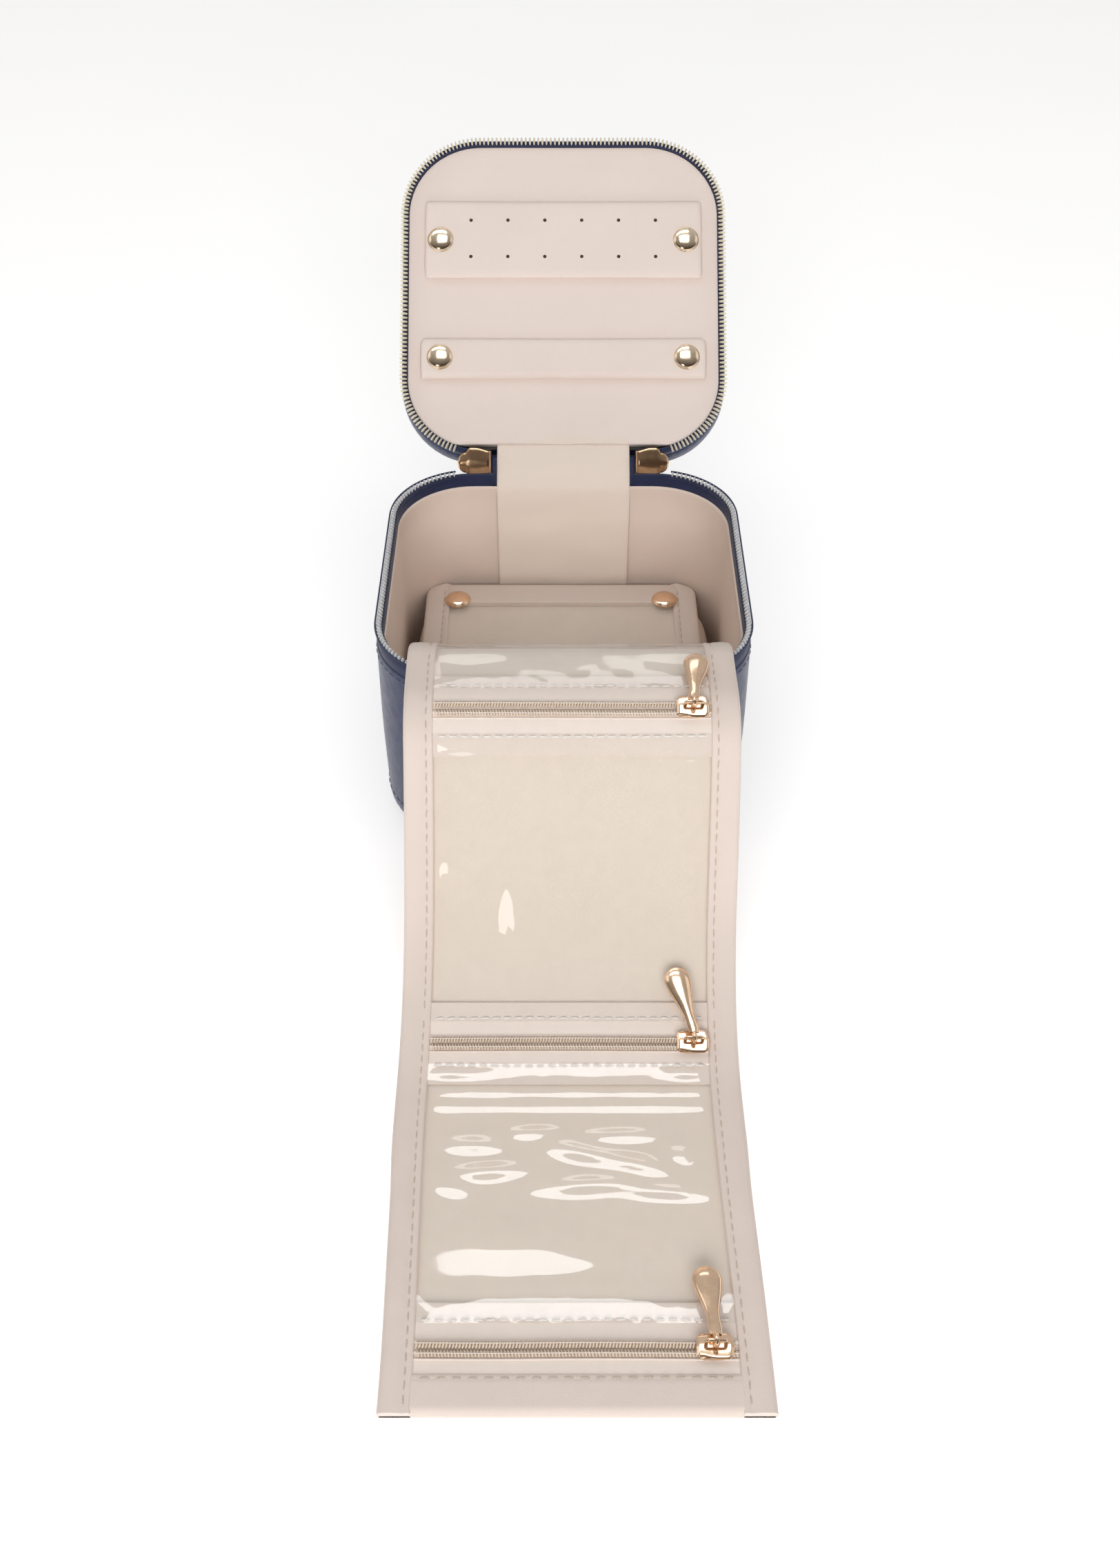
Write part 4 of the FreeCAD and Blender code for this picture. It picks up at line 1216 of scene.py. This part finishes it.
def stitch_row(name, s, ride, material, height, pitch=3.1):
    """Stitches across the roll at one station; height is a number or a function of s and x."""
    left, right = -INNER + 1.0, INNER - 1.0
    row = Collected()
    along, off = roll_axes(s)
    count = int((right - left) / pitch)
    for i in range(count):
        x = left + (i + 0.5) * (right - left) / count
        here = s + 0.25 * ripple(x, s, 0, 20.0, 9.0)
        centre = on_roll(here, height(here, x) if callable(height) else height, x)
        slant = rng.uniform(-0.08, 0.08)
        direction = np.array((1.0, slant * along[1], slant * along[2]))
        row.add(bead(centre, direction, along, off, (1.15, 0.33, 0.3)))
    attach_to_roll(row.build(name, material), ride)


EDGE_STITCH_PITCH = 3.5


def edge_stitches(name, start, end, ride):
    """The stitch lines that hold both bindings."""
    rows = Collected()
    for side in (-1, 1):
        for i in range(int((end - start) / EDGE_STITCH_PITCH)):
            s = start + (i + 0.5) * EDGE_STITCH_PITCH
            if s < 6.0:
                continue
            x = side * (INNER + (outer_half(s) - INNER) * 0.232)
            along, off = roll_axes(s)
            lean = rng.uniform(-0.07, 0.07)
            direction = np.array((lean, along[1], along[2]))
            rows.add(bead(on_roll(s, 2.33, x), direction, (1, 0, 0), off, (1.2, 0.2, 0.18)))
    stitches = rows.build(name, THREAD)
    attach_to_roll(stitches, ride)
    return stitches


def build_zip(index):
    """A nylon zip across the roll: two tapes, two rows of coil and the cords that hold them."""
    at, ride = ZIPS[index], ZIP_RIDES[index]
    reach = 12.4 if index < 3 else 7.4

    def tape(side):
        def outline(s):
            lift = 0.12 * ripple(0, s, index, 9.0, 3.0)
            return slab_outline(-INNER - 0.3, INNER + 0.3, lambda x: 1.45 + lift,
                                lambda x: 1.85 + lift + 0.06 * ripple(x, s, 0, 16.0, 8.0))
        near, far = at + side * 0.1, at + side * (reach if side > 0 else 12.4)
        return min(near, far), max(near, far), outline
    tapes = roll_strips("zip_%d_tapes" % index, [tape(-1), tape(1)], BEIGE_TAPE, ride, 1.2)
    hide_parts("zip_tape_%d" % index)
    coil = Collected()
    along, off = roll_axes(at)
    for side in (-1, 1):
        count = 96
        for i in range(count):
            x = -INNER + 0.4 + (i + 0.5 + 0.25 * side) * (2 * INNER - 0.8) / count
            s = at + side * 1.08 + 0.22 * ripple(x, at, 0, 34.0, 5.0)
            direction = np.array((0.28 * side, along[1], along[2]))
            coil.add(bead(on_roll(s, 2.5, x), direction / np.linalg.norm(direction), (1, 0, 0), off,
                          (0.96, 0.35, 0.62), 6, 4))
    rows = coil.build("zip_%d_coil" % index, BEIGE_COIL)
    attach_to_roll(rows, ROW_RIDES[index])
    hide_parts("zip_coil_%d" % index)
    cords = Collected()
    for offset in (-2.35, -1.3, 1.3, 2.35):
        outer = abs(offset) > 2
        line = [on_roll(at + offset + 0.22 * ripple(x, at, 0, 34.0, 5.0), 2.0 if outer else 3.12, x)
                for x in np.linspace(-INNER, INNER, 40)]
        cords.add(tube(line, 0.26 if outer else 0.14, 6))
    cord = cords.build("zip_%d_cords" % index, BEIGE_TAPE)
    attach_to_roll(cord, ROW_RIDES[index])
    build_zip_slider(index)
    return tapes


def build_roll():
    films = {letter: build_window(letter) for letter in "abcd"}
    tapes = [build_zip(index) for index in range(4)]
    replaced = {"rear": "a", "middle": "bc", "front": "d"}
    for name, start, end, ride in SECTIONS:
        cloth_start = start + (0.4 if name == "rear" else 0)
        cloth = roll_strips("roll_cloth_" + name, [(cloth_start, end, sheet_outline(
            0.42, lambda s, x: 0.76 + 0.1 * ripple(x, s, 0, 26.0, 5.5)))], CLOTH, ride, 2.2)
        back = roll_strips("roll_back_" + name, [(cloth_start, end, sheet_outline(
            0.04, lambda s, x: 0.4))], UNDERSIDE, ride, 2.2)
        bindings = roll_strips("roll_bindings_" + name, [
            (start, end, binding_outline(side)) for side in (-1, 1)], ROLL_EDGE, ride, 1.3)
        stitches = edge_stitches("roll_edge_stitches_" + name, start, end, ride)
        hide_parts(*("roll_backing_" + letter for letter in replaced[name]))
        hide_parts(*("roll_bindings_" + letter for letter in replaced[name]))
    build_roll_ends()
    for index, s in enumerate(ZIPS):
        before = "abcd"[index]
        stitch_row("window_stitches_%s_end" % before, s - 7.6, ROW_RIDES[index], WHITE_THREAD,
                   lambda s, x: window_height(before)(s, x) + 0.22)
        if index < 3:
            after = "abcd"[index + 1]
            stitch_row("window_stitches_%s_start" % after, s + 6.9, ZIP_RIDES[index], WHITE_THREAD,
                       lambda s, x: window_height(after)(s, x) + 0.22)


def build_roll_ends():
    """The snap bar at the rear edge and the hem at the front edge."""
    def bar(s):
        crown = (0.12 * ripple(0, s, 0, 6.0, 2.0) - 0.5 * (1 - smoothstep((s - REAR_EDGE) / 1.2))
                 - 0.25 * smoothstep((s - 11.2) / 0.8))
        reach = min(INNER + 0.5, outer_half(s))
        return slab_outline(-reach, reach, lambda x: 0.9,
                            lambda x: 2.62 + crown + 0.08 * ripple(x, s, 0, 22.0, 3.0))
    snap_bar = roll_strips("roll_snap_bar_leather", [(REAR_EDGE + 0.1, 12.2, bar)], ROLL_EDGE,
                           "case", 0.8)
    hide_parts("roll_snap_bar")
    start = ZIPS[3] + 6.0

    def hem(s):
        edge = (-0.5 * (1 - smoothstep((s - start) / 0.8))
                - 0.9 * smoothstep((s - ROLL_LENGTH + 1.4) / 1.4))
        groove = -0.22 * math.exp(-((s - start - 1.2) / 0.5) ** 2)
        return slab_outline(-INNER - 0.3, INNER + 0.3, lambda x: 0.3,
                            lambda x: 2.45 + edge + groove + 0.1 * ripple(x, s, 0, 18.0, 4.0))
    front = roll_strips("roll_hem", [(start, ROLL_LENGTH - 0.1, hem)], ROLL_EDGE, "roll_d", 0.6)
    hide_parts("roll_end_hem")
    stitch_row("hem_stitches", ZIPS[3] + 7.2, "roll_d", THREAD, 2.36, pitch=3.6)
    centres = [on_roll(ROLL_SNAP_AT, FACE + 0.02, x) for x in (-ROLL_SNAP_X, ROLL_SNAP_X)]
    build_snaps("roll_snap_domes", "roll_snap_caps", "case", centres, (0, 0, 1))


# ---- the CAD nodes that stay: boards, foam and posts inside ----
def dress_cad_nodes():
    for material, names in ((BOARD, ("body_wall_stiffener", "body_base_board", "cushion_board",
                                     "lid_board")),
                            (FOAM, ("lid_foam",)),
                            (CHAMPAGNE, ("lid_snap_posts", "cushion_snap_posts"))):
        for name in names:
            node = frame["nodes"][name]
            node.data.materials.clear()
            node.data.materials.append(material)


# ---- floor, light and camera ----
# name, place, target, size, power and the kind of ray that doesn't see it
AREA_LIGHTS = (
    ("top_softbox", (-0.05, 0.1, 1.0), (0.0, -0.04, 0.0), (1.0, 0.8), 0.3, "glossy"),
    ("key_softbox", (0.0, -1.35, 0.71), (0.0, 0.0, 0.05), (1.0, 0.7), 14.3, "glossy"),
    ("left_softbox", (-1.1, 0.1, 0.8), (0.0, 0.0, 0.05), (0.7, 0.9), 1.3, None),
    ("right_softbox", (1.1, 0.0, 0.8), (0.0, 0.0, 0.05), (0.7, 0.9), 1.0, None),
    ("film_card", (-0.19, 0.24, 1.1), (-0.19, -0.2, 0.0), (0.8, 0.22), 2.3, "diffuse"),
    ("crest_card", (-0.05, 0.95, 0.95), (0.0, -0.07, 0.07), (0.6, 0.12), 0.42, "diffuse"),
    ("front_card", (-0.36, -1.15, 0.52), (0.0, -0.1, 0.05), (0.26, 0.4), 0.9, "diffuse"),
    ("metal_card", (0.0, -0.2, 1.0), (0.0, 0.1, 0.1), (0.45, 0.36), 1.6, "diffuse"))
COOL_WHITE = (0.94, 0.97, 1.0)
FLOOR_SIZE = 6000.0
WHITE = (1.0, 1.0, 1.0, 1.0)


def area_light(name, place, target, size, power, unseen):
    data = bpy.data.lights.new(name, "AREA")
    data.shape = "RECTANGLE"
    data.size, data.size_y = size
    data.energy = power
    light = bpy.data.objects.new(name, data)
    light.location = place
    light.rotation_euler = (Vector(target) - Vector(place)).to_track_quat("-Z", "Y").to_euler()
    light.visible_glossy = unseen != "glossy"
    light.visible_diffuse = unseen != "diffuse"
    bpy.context.scene.collection.objects.link(light)
    return light


def paper(name, scale, dark, light, glow, **settings):
    """Matt white paper, slightly uneven in tone, that glows a little."""
    s = Shader(name)
    tone = s.ranged(s.noise(scale, 2.0), 0.0, 1.0)
    s.link(s.blend_colours(tone, (dark, dark, dark, 1.0), (light, light, light, 1.0)), "Base Color")
    s.set(Roughness=0.9, Emission_Color=WHITE, Emission_Strength=glow, **settings)
    return s.material


def build_stage():
    material = paper("floor_paper", 9.0, 0.93, 0.95, 0.42, Specular_IOR_Level=0.1)
    corners = [(x * FLOOR_SIZE, y * FLOOR_SIZE, 0) for x, y in ((-1, -1), (1, -1), (1, 1), (-1, 1))]
    floor = make_object("floor", corners, [(0, 1, 2, 3)], material)
    floor.location.z = -0.1 * MM
    build_backdrop(0.95 * FLOOR_SIZE, FLOOR_SIZE)
    build_world()
    lights = {values[0]: area_light(*values) for values in AREA_LIGHTS}
    lights["film_card"].data.color = COOL_WHITE
    metals = bpy.data.collections.new("metals")
    for obj in bpy.context.scene.objects:
        if obj.type == "MESH" and obj.data.materials and \
                obj.data.materials[0] in (ROSE_GOLD, PALE_GOLD, DARK_GOLD):
            metals.objects.link(obj)
    lights["metal_card"].light_linking.receiver_collection = metals


def build_backdrop(radius, height, sides=64):
    """A white paper wall round the floor: seen by the camera, with no part in reflections."""
    points = [(radius * math.cos(a), radius * math.sin(a), z) for z in (0.0, height)
              for a in turns(sides)]
    faces = [(k, (k + 1) % sides, sides + (k + 1) % sides, sides + k) for k in range(sides)]
    wall = make_object("backdrop", points, faces, paper("backdrop_paper", 4.0, 0.9, 0.92, 0.6))
    for ray in ("diffuse", "glossy", "transmission", "shadow"):
        setattr(wall, "visible_" + ray, False)


def build_world():
    """Studio surroundings: bright above and behind, dim and warm where the camera stands."""
    world = bpy.data.worlds.new("studio")
    world.use_nodes = True
    nodes, links = world.node_tree.nodes, world.node_tree.links

    def scaled(value, factor):
        made = nodes.new("ShaderNodeMath")
        made.operation = "MULTIPLY_ADD"
        links.new(value, made.inputs[0])
        made.inputs[1].default_value = factor
        return made

    axes = nodes.new("ShaderNodeSeparateXYZ")
    links.new(nodes.new("ShaderNodeTexCoord").outputs["Generated"], axes.inputs[0])
    back = scaled(axes.outputs["Y"], 0.42)
    back.inputs[2].default_value = 0.42
    above = scaled(axes.outputs["Z"], 0.35)
    links.new(back.outputs[0], above.inputs[2])
    ramp = nodes.new("ShaderNodeValToRGB")
    links.new(above.outputs[0], ramp.inputs[0])
    for element, position, colour in zip(ramp.color_ramp.elements, (0.22, 0.85), (
            (0.13, 0.1, 0.085, 1.0), (1.0, 0.995, 0.985, 1.0))):
        element.position = position
        element.color = colour
    links.new(ramp.outputs[0], nodes["Background"].inputs["Color"])
    nodes["Background"].inputs["Strength"].default_value = 0.54
    bpy.context.scene.world = world


# the camera that was solved from the photo's outlines, in millimetres and degrees
CAMERA_PLACE, CAMERA_TILT, LENS = (-1.12, -414.35, 363.22), 46.9, 36.83


def build_camera():
    data = bpy.data.cameras.new("camera")
    data.sensor_width = 36.0
    data.lens = LENS
    data.clip_start = 0.01
    data.clip_end = 50.0
    camera = bpy.data.objects.new("camera", data)
    camera.location = Vector(CAMERA_PLACE) * MM
    camera.rotation_euler = (math.radians(CAMERA_TILT), 0.0, 0.0)
    bpy.context.scene.collection.objects.link(camera)
    bpy.context.scene.camera = camera


for build in (build_body_shell, build_body_liner, build_cushion, build_case_zip, build_lid_shell,
              build_lid_panel, build_lid_zip, build_lid_strips, build_hinge, build_case_sliders,
              build_roll, dress_cad_nodes, build_stage, build_camera):
    build()
bpy.context.scene.view_settings.view_transform = "Standard"
